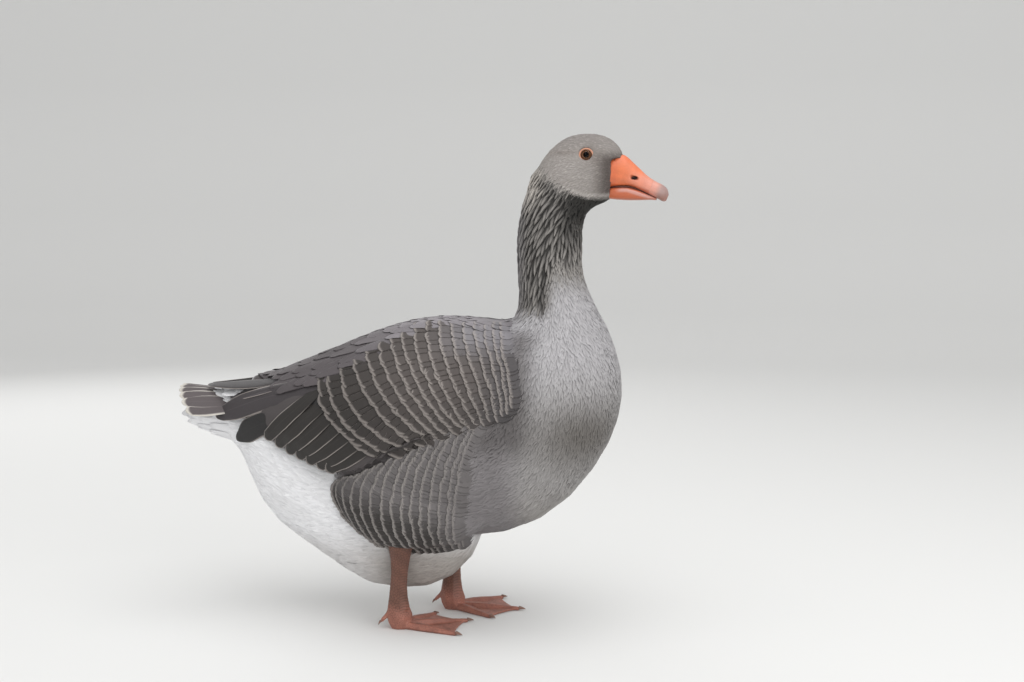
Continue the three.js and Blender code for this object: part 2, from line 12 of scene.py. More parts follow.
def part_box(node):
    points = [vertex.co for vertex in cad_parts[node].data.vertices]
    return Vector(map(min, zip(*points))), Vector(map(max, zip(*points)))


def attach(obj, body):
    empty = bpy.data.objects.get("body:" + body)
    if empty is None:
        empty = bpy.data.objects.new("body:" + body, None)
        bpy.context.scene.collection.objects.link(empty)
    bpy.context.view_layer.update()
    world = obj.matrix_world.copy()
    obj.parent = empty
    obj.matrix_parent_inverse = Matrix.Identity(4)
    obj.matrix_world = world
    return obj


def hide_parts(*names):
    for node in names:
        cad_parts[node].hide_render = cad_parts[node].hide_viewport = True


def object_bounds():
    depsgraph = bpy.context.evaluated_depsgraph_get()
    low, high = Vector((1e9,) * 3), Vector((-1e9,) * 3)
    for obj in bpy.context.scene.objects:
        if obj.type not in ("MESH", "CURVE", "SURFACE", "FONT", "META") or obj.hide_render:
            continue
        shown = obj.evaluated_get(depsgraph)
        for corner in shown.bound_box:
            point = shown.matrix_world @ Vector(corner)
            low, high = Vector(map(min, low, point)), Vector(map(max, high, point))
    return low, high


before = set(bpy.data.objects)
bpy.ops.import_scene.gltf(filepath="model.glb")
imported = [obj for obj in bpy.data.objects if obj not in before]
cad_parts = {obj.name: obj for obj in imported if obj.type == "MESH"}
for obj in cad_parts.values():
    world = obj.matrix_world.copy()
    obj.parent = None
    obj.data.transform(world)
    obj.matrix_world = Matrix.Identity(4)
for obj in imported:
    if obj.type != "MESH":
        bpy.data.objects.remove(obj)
cad_low, cad_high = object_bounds()


# ---- Where it is seen from ----
# The bird stands side on to the viewer, its right side near, its head turned neither way. The camera is at
# the height of its head and looks very slightly down.
scene = bpy.context.scene
VIEW_TURN = math.radians(10)
VIEW_DROP = math.radians(5.18)


def in_scene(name, data):
    """A new object in the scene."""
    thing = bpy.data.objects.new(name, data)
    scene.collection.objects.link(thing)
    return thing


camera = in_scene("camera", bpy.data.cameras.new("camera"))
camera.location = (cad_high.x + 0.1335, -1.882, 0.540)  # a little ahead of the bill
camera.rotation_euler = (math.pi / 2 - VIEW_DROP, 0, VIEW_TURN)
camera.data.sensor_width = 36
camera.data.lens = 52.73
scene.camera = camera


# ---- Floor, backdrop and light ----
# A pale floor that runs on into a white surround, under one wide soft light from above and a weaker one from
# each side, as on a table in a studio.
scene.view_settings.view_transform = "Standard"
MIDDLE = Vector((0, 0, 0.3))  # the place that the lights are aimed at
GLOW_ON_BIRD, GLOW_IN_VIEW = 0.72, 0.95  # strength of the white surround as a light and as it is seen


def soft_light(name, place, size, power):
    lamp = in_scene(name, bpy.data.lights.new(name, "AREA"))
    lamp.location = place
    lamp.rotation_euler = (MIDDLE - Vector(place)).to_track_quat("-Z", "Y").to_euler()
    lamp.data.size = size
    lamp.data.energy = power


soft_light("light_above", (0.5, -0.6, 2.6), 2.4, 32)
soft_light("light_camera_side", (1.9, -1.9, 1.3), 1.8, 18)
soft_light("light_far_side", (-1.6, 2.0, 1.5), 1.6, 12)

surround = bpy.data.worlds.new("surround")
scene.world = surround
surround.use_nodes = True
nodes, links = surround.node_tree.nodes, surround.node_tree.links
lit = nodes.new("ShaderNodeMix")
lit.data_type = "FLOAT"
lit.inputs["A"].default_value = GLOW_ON_BIRD
lit.inputs["B"].default_value = GLOW_IN_VIEW
links.new(nodes.new("ShaderNodeLightPath").outputs["Is Camera Ray"], lit.inputs["Factor"])
links.new(lit.outputs["Result"], nodes["Background"].inputs["Strength"])
nodes["Background"].inputs["Color"].default_value = (1, 1, 1, 1)


def material(name, roughness, **extra):
    """A material and its shader node, with plain values set on the shader's own sockets."""
    made = bpy.data.materials.new(name)
    made.use_nodes = True
    shader = made.node_tree.nodes["Principled BSDF"]
    shader.inputs["Roughness"].default_value = roughness
    for socket, value in extra.items():
        shader.inputs[socket.replace("_", " ")].default_value = value
    return made, shader


SWEEP = [(-9, 0), (3.2, 0), (3.9, 0.12), (4.5, 0.5), (4.9, 1.1), (5, 2), (5, 9)]  # y and z of floor and wall
floor_mesh = bpy.data.meshes.new("floor")
floor_mesh.from_pydata([(x, y, z) for y, z in SWEEP for x in (-12, 12)], [],
                       [(2 * i, 2 * i + 1, 2 * i + 3, 2 * i + 2) for i in range(len(SWEEP) - 1)])
floor_mesh.shade_smooth()
floor = in_scene("floor", floor_mesh)
floor_mesh.materials.append(material("floor_paint", 0.9, Base_Color=(0.78, 0.78, 0.77, 1))[0])


# ---- Skin ----
# One skin over the flesh of the head, neck, trunk, belly and folded wings, and the stump of the tail. The
# solids are closed behind the bill, filled at the tail and between the wings and made one surface, which is
# let in by the depth of the coat, so that the tips of the feathers come out where the solids end.
EYE = (205.5, 14.8, 602)
BILL_TIP = 307.5  # millimetres from the bird's own zero to the tip of its bill
ZERO_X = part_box("bill_nail")[1].x - BILL_TIP / 1000


def bird(*mm):
    """A place given in millimetres from the bird's own zero, as metres in the frame."""
    return np.array(mm, float) / 1000 + (ZERO_X, 0, 0)


def in_bird(points):
    """Points of the frame as millimetres from the bird's own zero, folded onto one side of it."""
    mm = (np.asarray(points) - (ZERO_X, 0, 0)) * 1000
    return mm[..., 0], np.abs(mm[..., 1]), mm[..., 2]


def ease(low, high, value):
    """0 below low and 1 above high, with a smooth slope between; turned round where high is under low."""
    share = np.clip((np.asarray(value, float) - low) / (high - low), 0, 1)
    return share * share * (3 - 2 * share)


def paint(red, green, blue):
    """A colour as it looks, 0 to 255, as the linear colour that a shader takes."""
    c = np.array((red, green, blue), float) / 255
    return np.where(c <= 0.04045, c / 12.92, ((c + 0.055) / 1.055) ** 2.4)


def stations(table, count):
    """Rows of numbers at count even places along a table, on a smooth curve through its rows."""
    table = np.array(table, float)
    place = np.linspace(0, len(table) - 1, count)
    i = np.minimum(place.astype(int), len(table) - 2)
    f = (place - i)[:, None]
    before, a = table[np.maximum(i - 1, 0)], table[i]
    b, after = table[i + 1], table[np.minimum(i + 2, len(table) - 1)]
    rise, fall = (b - before) / 2, (after - a) / 2
    return a + rise * f + (3 * (b - a) - 2 * rise - fall) * f**2 + (2 * (a - b) + rise + fall) * f**3


def sections(table, rings, sides):
    """Rings of points round a form. A row gives the upper and under point of a section in the middle plane,
    its half width, the share of its height where it is widest and how boxy it is."""
    upper_x, upper_z, under_x, under_z, half, level, full = stations(table, rings).T[:, :, None]
    angle = np.linspace(0, 2 * math.pi, sides, endpoint=False)[None]
    along = level + np.where(np.cos(angle) > 0, 1 - level, level) * np.cos(angle)
    side = np.sign(np.sin(angle)) * np.abs(np.sin(angle)) ** (1 / full)
    x = under_x + (upper_x - under_x) * along
    z = under_z + (upper_z - under_z) * along
    return np.stack([x, side * half, z], axis=-1) / 1000 + (ZERO_X, 0, 0)


def tube_faces(rings, sides):
    """The faces of a tube through rings of points, closed at both ends."""
    i, j = np.meshgrid(np.arange(rings - 1), np.arange(sides), indexing="ij")
    k = (j + 1) % sides
    quads = np.stack([i * sides + j, i * sides + k, (i + 1) * sides + k, (i + 1) * sides + j], axis=-1)
    ends = [list(range(sides))[::-1], list(range((rings - 1) * sides, rings * sides))]
    return quads.reshape(-1, 4).tolist() + ends


def piece(name, points, faces):
    """A closed mesh object in the scene, with its doubles merged and its faces outwards."""
    made = bpy.data.meshes.new(name)
    made.from_pydata(np.asarray(points).reshape(-1, 3).tolist(), [], faces)
    work = bmesh.new()
    work.from_mesh(made)
    bmesh.ops.remove_doubles(work, verts=work.verts, dist=1e-6)
    bmesh.ops.recalc_face_normals(work, faces=work.faces)
    work.to_mesh(made)
    work.free()
    made.shade_smooth()
    return in_scene(name, made)


def swollen(node, by, plane=None):
    """The mesh of a solid, grown by a little, and cut off and closed at a plane, if one is given."""
    part = bmesh.new()
    part.from_mesh(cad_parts[node].data)
    bmesh.ops.remove_doubles(part, verts=part.verts, dist=1e-6)
    if plane:
        whole = part.verts[:] + part.edges[:] + part.faces[:]
        bmesh.ops.bisect_plane(part, geom=whole, plane_co=plane[0], plane_no=plane[1], clear_outer=True)
        bmesh.ops.holes_fill(part, edges=[e for e in part.edges if e.is_boundary])
    part.normal_update()
    for v in part.verts:
        v.co += v.normal * by
    lump = bpy.data.meshes.new("lump")
    part.to_mesh(lump)
    part.free()
    return lump


def one_surface(name, lumps, cell, rounds):
    """One surface over several closed meshes, drawn in cells of a given size and faired a number of times."""
    work = bmesh.new()
    for lump in lumps:
        work.from_mesh(lump)
    made = bpy.data.meshes.new(name)
    work.to_mesh(made)
    work.free()
    thing = in_scene(name, made)
    remesh = thing.modifiers.new("one surface", "REMESH")
    remesh.mode = "VOXEL"
    remesh.voxel_size = cell
    thing.modifiers.new("fair", "SMOOTH").iterations = rounds
    done = bpy.data.meshes.new_from_object(thing.evaluated_get(bpy.context.evaluated_depsgraph_get()))
    thing.modifiers.clear()
    thing.data = done
    done.name = name
    return thing


TAIL_STUMP = [  # upper x, upper z, under x, under z, half width, level, full
    (-230, 296, -240, 196, 40, 0.55, 1.05),
    (-255, 294, -264, 229, 32, 0.55, 1.05),
    (-276, 294, -284, 238, 29, 0.6, 1),
    (-292, 292, -300, 246, 24, 0.65, 1),
    (-306, 286, -312, 254, 14, 0.6, 1),
]
SADDLE = [(x, top, x, low, half, 0.5, 1) for x, top, low, half in (  # fills the furrow between the wings
    (98, 379, 350, 20), (70, 391, 355, 26), (35, 395.5, 360, 27), (0, 394.5, 360, 27), (-40, 386.5, 350, 26),
    (-80, 372, 336, 25), (-115, 356.5, 322, 24), (-150, 341.5, 308, 23), (-185, 327.5, 298, 21),
    (-218, 314, 290, 18),
)]
FLESH_NODES = ["head", "neck", "trunk", "belly", "wing_right", "wing_left"]
BLADES_FROM = bird(-236, 0, 0)[0]  # behind this a wing has only the blades of its long feathers
CUTS = {
    "wing": ((BLADES_FROM, 0, 0), (-1, 0, 0)),
    "bill": (bird(246, 0, 580), (50, 0, -14)),  # closes the face under the root of the bill
}
SEAL = 0.0004  # each solid is swollen by this, to close the cuts between them

lumps = [swollen(node, SEAL, CUTS.get(node[:4])) for node in FLESH_NODES + ["bill_upper", "bill_lower"]]
for table in (TAIL_STUMP, SADDLE):
    filler = piece("filler", sections(table, rings=24, sides=24), tube_faces(24, 24))
    lumps.append(filler.data)
    bpy.data.objects.remove(filler)
skin = one_surface("skin", lumps, cell=0.0026, rounds=14)


def past_face(points):
    """1 on the bill's side of the edge of the face, which runs straight down the cheek and forward in a point
    on the forehead."""
    x, y, z = in_bird(points)
    line = 238 + 17 * ease(596, 600, z) - 2 * ease(570, 552, z)
    return ease(line - 1.5, line + 1.5, x) * (z > 530)


def coat_depth(points):
    """How far inside the tips of the feathers the skin lies: least on the face, most on the body."""
    x, y, z = in_bird(points)
    on_neck = ease(565, 535, z + 0.35 * (x - 180)) * ease(392, 420, z - 56 * ease(158, 168, x))
    wing_side = ease(35, 70, y) * ease(215, 240, z) * ease(132, 118, x) * ease(-205, -180, x)
    depth = 1.1 + 0.9 * ease(560, 520, z + 0.35 * (x - 180)) + 1.7 * on_neck + 1.8 * wing_side
    depth = depth + 7 * ease(-294, -322, x)
    near_eye = ease(17, 10, np.hypot(x - EYE[0], z - EYE[2])) * (z > 560)
    inside = 5.5 + 5 * ease(582, 592, z)
    return (depth * (1 - 0.5 * near_eye) + inside * past_face(points)) / 1000


def array_of(collection, attribute, width, kind=np.float32):
    values = np.empty(len(collection) * width, kind)
    collection.foreach_get(attribute, values)
    return values.reshape(-1, width)


def moved(thing, points):
    """Moves the points of a piece and shades it smooth."""
    thing.data.vertices.foreach_set("co", points.ravel())
    thing.data.update()
    thing.data.shade_smooth()


skin_points = array_of(skin.data.vertices, "co", 3)
skin_normals = array_of(skin.data.vertices, "normal", 3)
skin_points = skin_points - skin_normals * coat_depth(skin_points)[:, None]
moved(skin, skin_points)
skin.data.uv_layers.new(name="OFBake")
bpy.context.view_layer.objects.active = skin
skin.select_set(True)
bpy.ops.object.mode_set(mode="EDIT")
bpy.ops.mesh.select_all(action="SELECT")
bpy.ops.uv.smart_project(angle_limit=math.radians(75), island_margin=0.004)
bpy.ops.object.mode_set(mode="OBJECT")
skin.select_set(False)


def spot(x, z, at_x, at_z, reach_x, reach_z):
    """1 at a place in the side view and 0 well away from it."""
    return np.exp(-(((x - at_x) / reach_x) ** 2) - ((z - at_z) / reach_z) ** 2)


WING_LOW = np.array([  # x, and the z of the lower edge of the folded wing there
    (-238, 268), (-215, 254), (-185, 236), (-150, 220), (-115, 206), (-80, 201), (-40, 218),
    (0, 240), (35, 252), (70, 262), (100, 274), (118, 290), (128, 302),
], float)


def on_wing(points):
    """1 on the folded wings and 0 off them."""
    x, y, z = in_bird(points)
    low = np.interp(x, WING_LOW[:, 0], WING_LOW[:, 1])
    steep = np.degrees(np.arctan2(y, z - 255))
    shoulder = ease(50, 100, x)
    front = ease(124, 108, x) * ease(5 + 12 * shoulder, 12 + 12 * shoulder, steep)
    return ease(low - 6, low + 6, z) * front * ease(-236, -228, x)


JAW = np.array([  # x, and the z of the line under the cheek where the face ends and the neck begins
    (100, 612), (120, 600), (135, 592), (150, 581), (159, 571), (175, 560), (191, 554), (209, 549),
    (245, 549),
])


def over_jaw(points):
    """Height over the line of the jaw in millimetres."""
    x, y, z = in_bird(points)
    return z - np.interp(x, JAW[:, 0], JAW[:, 1])


def painted(colour, *marks):
    """Colours with marks laid over them in turn, each a share for every point and the colour it looks."""
    for share, look in marks:
        colour = colour + (paint(*look) - colour) * share[:, None]
    return colour


GREY = (172, 170, 172)
WHITE = (240, 240, 242)


def plumage(points):
    """The colour of the plumage at a place on the body, which skin and feathers share."""
    x, y, z = in_bird(points)
    over = over_jaw(points)
    head = ease(-4, 6, over)
    behind_flank = np.hypot((x - 18) / 125, np.minimum(z - 0.1 * (x + 12) - 185, 0) / 82)
    behind_leg = ease(0.93, 1.04, behind_flank) * ease(80, 56, x)
    # where painted shade falls just in front of the wing
    shoulder = ease(166, 126, x) * ease(394, 372, z) * ease(222, 262, z) * ease(60, 90, x)
    # painted shade under the breast
    painted_shade_under_breast = spot(x, z, 212, 258, 62, 42) * ease(115, 165, x) * (0.6 + 0.4 * ease(8, 50, y))
    # a line of painted shade in the furrow down the side of the neck
    furrow = ease(3.5, 1, np.abs(x - 157 - 0.06 * (z - 436))) * ease(396, 410, z) * ease(470, 450, z)
    return painted(
        paint(*GREY),
        (ease(370, 250, z) * ease(60, 150, x) * 0.8, (152, 149, 147)),  # lower breast, darkened with painted shade
        (ease(210, 140, z) * ease(30, 90, x), (154, 150, 147)),  # keel, darkened with painted shade on the underside
        (ease(150, 110, x) * ease(368, 330, z), (127, 123, 124)),  # side
        # painted shade just in front of the wing
        (shoulder, (98, 94, 94)),
        (spot(x, z, 138, 290, 18, 52) * 0.4, (72, 68, 67)),  # painted shadow under the edge of the wing
        (painted_shade_under_breast, (104, 100, 96)),  # painted shade under the breast, placed for the side view and mirrored to the far side
        (ease(418, 465, z), (136, 132, 128)),  # neck
        (ease(396, 420, z) * ease(176, 156, x), (130, 126, 122)),  # back of the neck's foot
        (ease(530, 575, z) * ease(165, 140, x), (204, 197, 189)),  # nape
        (ease(140, 100, x) * ease(300, 330, z), (150, 147, 151)),  # mantle
        (ease(40, -60, x) * ease(300, 330, z), (116, 111, 114)),  # back
        (behind_leg * ease(300, 270, z + 0.25 * (x + 93)), WHITE),
        (behind_leg * ease(135, 80, z) * (0.4 + 0.6 * ease(-110, -20, x)), (170, 164, 159)),  # painted shade low on the white belly, between and behind the legs
        (ease(-200, -225, x), WHITE),  # rump and the coverts of the tail
        (on_wing(points), (84, 79, 79)),  # under the coverts
        (ease(0, -4, over) * ease(470, 530, z) * ease(166, 190, x), (35, 33, 30)),  # throat, a darker grey of its own deepened with painted shade under the jaw
        (head, (158, 152, 147)),
        (head * ease(600, 622, z), (150, 144, 140)),  # crown
        (head * spot(x, z, 180, 586, 26, 15) * 0.8, (166, 160, 156)),  # cheek
        (head * ease(208, 234, x) * ease(612, 594, z) * 0.95, (88, 79, 75)),  # lores
        (head * spot(x, z, 178, 605, 22, 3.2) * 0.5, (128, 118, 112)),  # line behind the eye
        (head * spot(x, z, EYE[0] + 6, EYE[2], 12, 12) * 0.4, (120, 108, 102)),  # round the eye
        (ease(0, 2.5, over) * ease(7, 3, over) * ease(150, 190, x) * 0.6, (186, 180, 175)),  # jaw fringe
        (furrow * 0.8, (62, 58, 56)),  # painted shade in the furrow down the side of the neck
    )


def set_colour(mesh_data, name, colour):
    """Stores a colour for each point of a mesh, or one colour for them all."""
    layer = mesh_data.attributes.new(name, "FLOAT_COLOR", "POINT")
    values = np.ones((len(mesh_data.vertices), 4), np.float32)
    values[:, :3] = colour
    layer.data.foreach_set("color", values.ravel())


def add_node(tree, kind, **settings):
    made = tree.nodes.new(kind)
    for key, value in settings.items():
        setattr(made, key, value)
    return made


def layer_of(tree, name, output="Color"):
    """The output of a node that reads a layer of the mesh."""
    return add_node(tree, "ShaderNodeAttribute", attribute_name=name).outputs[output]


def coloured(shader, name):
    """Gives a surface the colours in a layer of its mesh."""
    tree = shader.id_data
    tree.links.new(layer_of(tree, name), shader.inputs["Base Color"])


def dress(thing, matter, slot, *solids):
    """Gives a piece its material and its place in the model, and names the solids it takes the place of."""
    thing.data.materials.append(matter)
    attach(thing, "root")
    if solids:
        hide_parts(*solids)


# Skin under plumage is dull, a little darker than the feathers on it as painted shade between them, and
# darkest under the locks of the neck, as painted shade in the furrows.
skin_colour = plumage(skin_points)
x, y, z = in_bird(skin_points)
painted_shade_under_locks = ease(402, 424, z - 56 * ease(158, 168, x)) * ease(2, -6, over_jaw(skin_points))
pale = ease(0.4, 0.7, skin_colour[:, 0])
set_colour(skin.data, "plume", skin_colour * (0.85 - 0.65 * painted_shade_under_locks + 0.15 * pale)[:, None])
skin_matter, skin_shader = material("skin_under_plumage", 0.9)
coloured(skin_shader, "plume")
dress(skin, skin_matter, "plumage_trunk", *FLESH_NODES, "tail")


# ---- Feathers: how every one of them is made ----
# A feather is a thin web either side of a shaft, rooted in the skin and laid back over the roots of the next.
# Each is modelled as a thin closed blade along a line over the skin. It carries its own colour, the colour of
# its edge and its size, from which the material draws shaft, barbs and fringe.
skin.data.calc_loop_triangles()
skin_tris = array_of(skin.data.loop_triangles, "vertices", 3, np.int32)
skin_tri_loops = array_of(skin.data.loop_triangles, "loops", 3, np.int32)
skin_uv = array_of(skin.data.uv_layers["OFBake"].data, "uv", 2)[skin_tri_loops]
skin_normals = array_of(skin.data.vertices, "normal", 3)
skin_tree_of_faces = BVHTree.FromPolygons(skin_points.tolist(), skin_tris.tolist(), all_triangles=True)


def unit(vectors):
    return vectors / np.maximum(np.linalg.norm(vectors, axis=-1, keepdims=True), 1e-9)


def shares(points, tri):
    """How much each corner of its triangle counts at a point on it."""
    a, b, c = (skin_points[skin_tris[tri, k]] for k in range(3))
    ab, ac, ap = b - a, c - a, points - a
    d00, d01, d11 = (ab * ab).sum(1), (ab * ac).sum(1), (ac * ac).sum(1)
    d20, d21 = (ap * ab).sum(1), (ap * ac).sum(1)
    scale = np.maximum(d00 * d11 - d01 * d01, 1e-20)
    second = (d11 * d20 - d01 * d21) / scale
    third = (d00 * d21 - d01 * d20) / scale
    return np.clip(np.stack([1 - second - third, second, third], axis=1), 0, 1)


def on_skin(points):
    """The nearest places on the skin, the way the skin faces there and their places on its unwrap."""
    hits = [skin_tree_of_faces.find_nearest(p) for p in points.tolist()]
    places = np.array([h[0] for h in hits])
    tri = np.array([h[2] for h in hits])
    weight = shares(places, tri)[:, :, None]
    normals = unit((skin_normals[skin_tris[tri]] * weight).sum(1))
    return places, normals, (skin_uv[tri] * weight).sum(1)


def near_tree(points):
    """A tree that finds the points nearest to a place."""
    tree = KDTree(len(points))
    for i, point in enumerate(np.asarray(points).tolist()):
        tree.insert(point, i)
    tree.balance()
    return tree


def scatter(spacing, where, seed, crowd=2.6, stretch=1.0):
    """Roots over the part of the skin that where() keeps, no closer together than spacing() says. crowd is
    how many are tried for each square of that size; with stretch they stand that many times further apart in
    height."""
    rng = np.random.default_rng(seed)
    corners = skin_points[skin_tris]
    centres = corners.mean(1)
    normals = np.cross(corners[:, 1] - corners[:, 0], corners[:, 2] - corners[:, 0])
    area = np.linalg.norm(normals, axis=1) / 2
    gap = spacing(centres)
    tri = np.repeat(np.arange(len(area)), rng.poisson(crowd * area * where(centres) / gap**2 / stretch))
    rng.shuffle(tri)
    weight = rng.dirichlet((1, 1, 1), len(tri))[:, :, None]
    points = (corners[tri] * weight).sum(1)
    gap = gap[tri]
    measured = points * (1, 1, 1 / stretch)
    near = near_tree(measured)
    free = np.ones(len(points), bool)
    for i, p in enumerate(measured.tolist()):
        if free[i]:
            for _, other, _ in near.find_range(p, gap[i]):
                free[other] = other <= i and free[other]
    return points[free], rng


def lay(start, heading, length, v, back=False):
    """Lines over the skin from start, each length long, with a point at each share of it in v. With back they
    are walked from the tip to the root."""
    place, normal, root_uv = on_skin(start)
    heading = -heading if back else heading
    steps = np.abs(np.diff(v[::-1] if back else v))
    spine, up = [], []
    for r in range(len(v)):
        spine.append(place)
        up.append(normal)
        heading = unit(heading - normal * (heading * normal).sum(1, keepdims=True))
        if r < len(v) - 1:
            place, normal, last_uv = on_skin(place + heading * (length * steps[r])[:, None])
    if back:
        spine, up, root_uv = spine[::-1], up[::-1], last_uv
    return np.stack(spine, axis=1), np.stack(up, axis=1), root_uv


def lifted(spine, up, heights, vary):
    """The same lines raised off the skin by heights in millimetres, times vary for each feather."""
    return spine + up * (np.array(heights)[None, :, None] * np.asarray(vary)[:, None, None] / 1000)


ROOT_PATCH = 0.003  # side of the patch of the skin's unwrap that a feather has for its own


def feathers(name, spine, up, half, v, root_uv, plume, edge, seed, camber, sides=9, round_tip=0.6, fray=0.1,
             thick=0.0, square=2.0, roll=0.0, curve=4, hug=None, downy=False):
    """One mesh of many feathers. spine and up hold the points of each shaft and the way it faces; half is the
    half width and v the share of the length at each point. plume and edge are one colour, or one for each
    feather. thick gives a blade with an underside of its own, for feathers seen from both sides. With hug,
    the heights over the skin, a web bends to the skin all over. Downy tufts are shaded as one soft surface,
    the way the skin under them faces."""
    rng = np.random.default_rng(seed)
    count, rows = spine.shape[:2]
    along = unit(np.gradient(spine, v, axis=1))
    side = unit(np.cross(up, along))
    up = unit(np.cross(along, side) + side * roll)
    side = np.cross(up, along)
    u = np.linspace(-1, 1, sides)
    widest = half.max(axis=1)
    shift = -round_tip * widest[:, None, None] * (np.abs(u) ** square)[None, None] * (v**4)[None, :, None]
    ragged = rng.uniform(-1, 0.4, (count, 1, sides)) * fray * widest[:, None, None]
    shift = shift + ragged * (v**6)[None, :, None]
    across = half[:, :, None] * u
    sag = camber * half[:, :, None] * np.abs(u) ** curve
    top = spine[:, :, None] + side[:, :, None] * across[..., None] + along[:, :, None] * shift[..., None]
    if hug is None:
        top = top - up[:, :, None] * sag[..., None]
    else:
        place, normal, _ = on_skin(top.reshape(-1, 3))
        rise = hug[:, :, None] + roll * across - sag
        top = place.reshape(top.shape) + normal.reshape(top.shape) * rise[..., None]
    uv = np.stack(np.broadcast_arrays((u + 1)[None, None] / 2, v[None, :, None]), axis=-1)
    uv = np.broadcast_to(uv, (count, rows, sides, 2))
    ring = top
    if thick:  # the underside is a web like the top one, thinner towards the edges
        depth = thick * (1 - 0.75 * np.abs(u))[::-1]
        under = top[:, :, ::-1] - up[:, :, None] * depth[None, None, :, None]
        ring = np.concatenate([top, under], axis=2)
        uv = np.concatenate([uv, uv[:, :, ::-1]], axis=2)
    elif hug is not None:  # the underside is a single line, low enough to stay under the curve of the web
        chord = (top[:, :, 0] + top[:, :, -1]) / 2
        over = ((chord - top[:, :, sides // 2]) * up).sum(-1, keepdims=True)
        keel = chord - up * (0.0005 + 1.6 * np.maximum(over, 0))
        ring = np.concatenate([top, keel[:, :, None]], axis=2)
        uv = np.concatenate([uv, uv[:, :, sides // 2:sides // 2 + 1] * (1, 0.5)], axis=2)
    m = ring.shape[2]
    first = (np.arange(count) * rows * m)[:, None, None]
    r = (np.arange(rows - 1) * m)[None, :, None]
    j = np.arange(m)[None, None]
    k = (j + 1) % m
    quads = np.stack([first + r + j, first + r + m + j, first + r + m + k, first + r + k], axis=-1)
    root_caps = first[:, 0] + np.arange(m)[None]
    last = first[:, 0] + (rows - 1) * m
    if m == sides + 1:
        end = np.arange(sides - 1)
        tip_caps = last[..., None] + np.stack([end + 1, end, np.full(sides - 1, sides)], axis=-1)[None]
    else:
        tip_caps = last[:, None] + np.arange(m)[None, None, ::-1]
    faces = [quads.reshape(-1, 4), root_caps, tip_caps.reshape(-1, tip_caps.shape[-1])]
    corners = np.concatenate([face.ravel() for face in faces]).astype(np.int32)
    totals = np.concatenate([np.full(len(face), face.shape[1]) for face in faces])
    smooth = np.zeros(len(totals), bool)
    on_top = np.arange(quads.size // 4) % m
    smooth[:len(on_top)] = (on_top != sides - 1) & ((on_top != m - 1) | (m == sides))
    made = bpy.data.meshes.new(name)
    made.vertices.add(count * rows * m)
    made.vertices.foreach_set("co", ring.astype(np.float32).ravel())
    made.loops.add(len(corners))
    made.loops.foreach_set("vertex_index", corners)
    made.polygons.add(len(totals))
    made.polygons.foreach_set("loop_start", (np.cumsum(totals) - totals).astype(np.int32))
    made.polygons.foreach_set("use_smooth", smooth)
    made.update(calc_edges=True)
    uv = uv.reshape(-1, 2)
    owner = np.repeat(np.arange(count), rows * m)
    own_uv = root_uv[owner] + ROOT_PATCH * (uv - 0.5)
    for layer, places in (("OFBake", own_uv), ("vane", uv)):
        made.uv_layers.new(name=layer).data.foreach_set("uv", places[corners].astype(np.float32).ravel())
    set_colour(made, "plume", np.broadcast_to(plume, (count, 3))[owner])
    edge = edge if np.ndim(edge) == 3 else np.reshape(edge, (-1, 1, 3))  # one for each row or for the feather
    set_colour(made, "edge", np.repeat(np.broadcast_to(edge, (count, rows, 3)), m, axis=1).reshape(-1, 3))
    length = np.linalg.norm(np.diff(spine, axis=1), axis=2).sum(1)
    size = np.stack([widest * 2000, length * 1000, rng.random(count)], axis=1)
    size_layer = made.attributes.new("size", "FLOAT_VECTOR", "POINT")
    size_layer.data.foreach_set("vector", size[owner].astype(np.float32).ravel())
    if downy:  # a little rounded across
        facing = np.broadcast_to(up[:, :, None] + side[:, :, None] * (u * 0.3)[:, None], ring.shape)
        facing = unit(facing).reshape(-1, 3)[corners]
        facing[~np.repeat(smooth, totals)] = 0  # undersides and ends keep their own
        made.normals_split_custom_set(facing.tolist())
    print(name, count, "feathers", (totals - 2).sum(), "triangles")
    return in_scene(name, made)


LIE_GUIDE = np.array([  # x, z, and the way feathers point there in the side view: forward and up are positive
    (246, 580, -1, 0.1), (236, 612, -0.95, 0.3), (205, 628, -1, 0.0), (165, 622, -0.9, -0.45),
    (200, 600, -1, -0.05), (220, 560, -0.95, -0.3), (185, 575, -0.9, -0.4), (150, 600, -0.65, -0.75),
    (205, 545, -0.6, -0.8), (128, 570, -0.35, -0.95), (150, 560, -0.5, -0.85), (175, 545, -0.5, -0.85),
    (118, 520, -0.15, -1), (145, 510, -0.35, -0.95), (200, 500, 0.1, -1), (118, 440, 0.05, -1),
    (150, 440, -0.12, -1), (205, 440, 0.25, -1), (160, 400, 0.1, -1), (215, 380, 0.45, -0.9),
    (120, 390, -0.3, -0.95), (90, 370, -0.95, -0.25), (160, 340, -0.2, -1), (240, 330, 0.1, -1),
    (250, 290, -0.05, -1), (200, 290, -0.2, -1), (140, 280, -0.5, -0.85), (235, 230, -0.35, -1),
    (180, 220, -0.6, -0.8), (120, 220, -0.9, -0.45), (190, 160, -0.9, -0.5), (100, 140, -1, -0.15),
    (40, 360, -1, -0.1), (-40, 340, -1, -0.1), (-120, 310, -1, -0.1), (-200, 300, -1, -0.05),
    (40, 200, -0.97, -0.2), (-20, 190, -0.97, -0.15), (-80, 180, -0.95, 0.1), (20, 120, -0.8, -0.5),
    (-30, 100, -0.9, -0.3), (60, 90, -1, -0.1), (0, 80, -1, 0), (-60, 100, -1, 0.15),
    (-120, 140, -0.95, 0.25), (-160, 190, -0.9, 0.4), (-200, 230, -0.9, 0.4), (-240, 250, -1, 0.15),
    (-290, 265, -1, 0.05),
], float)


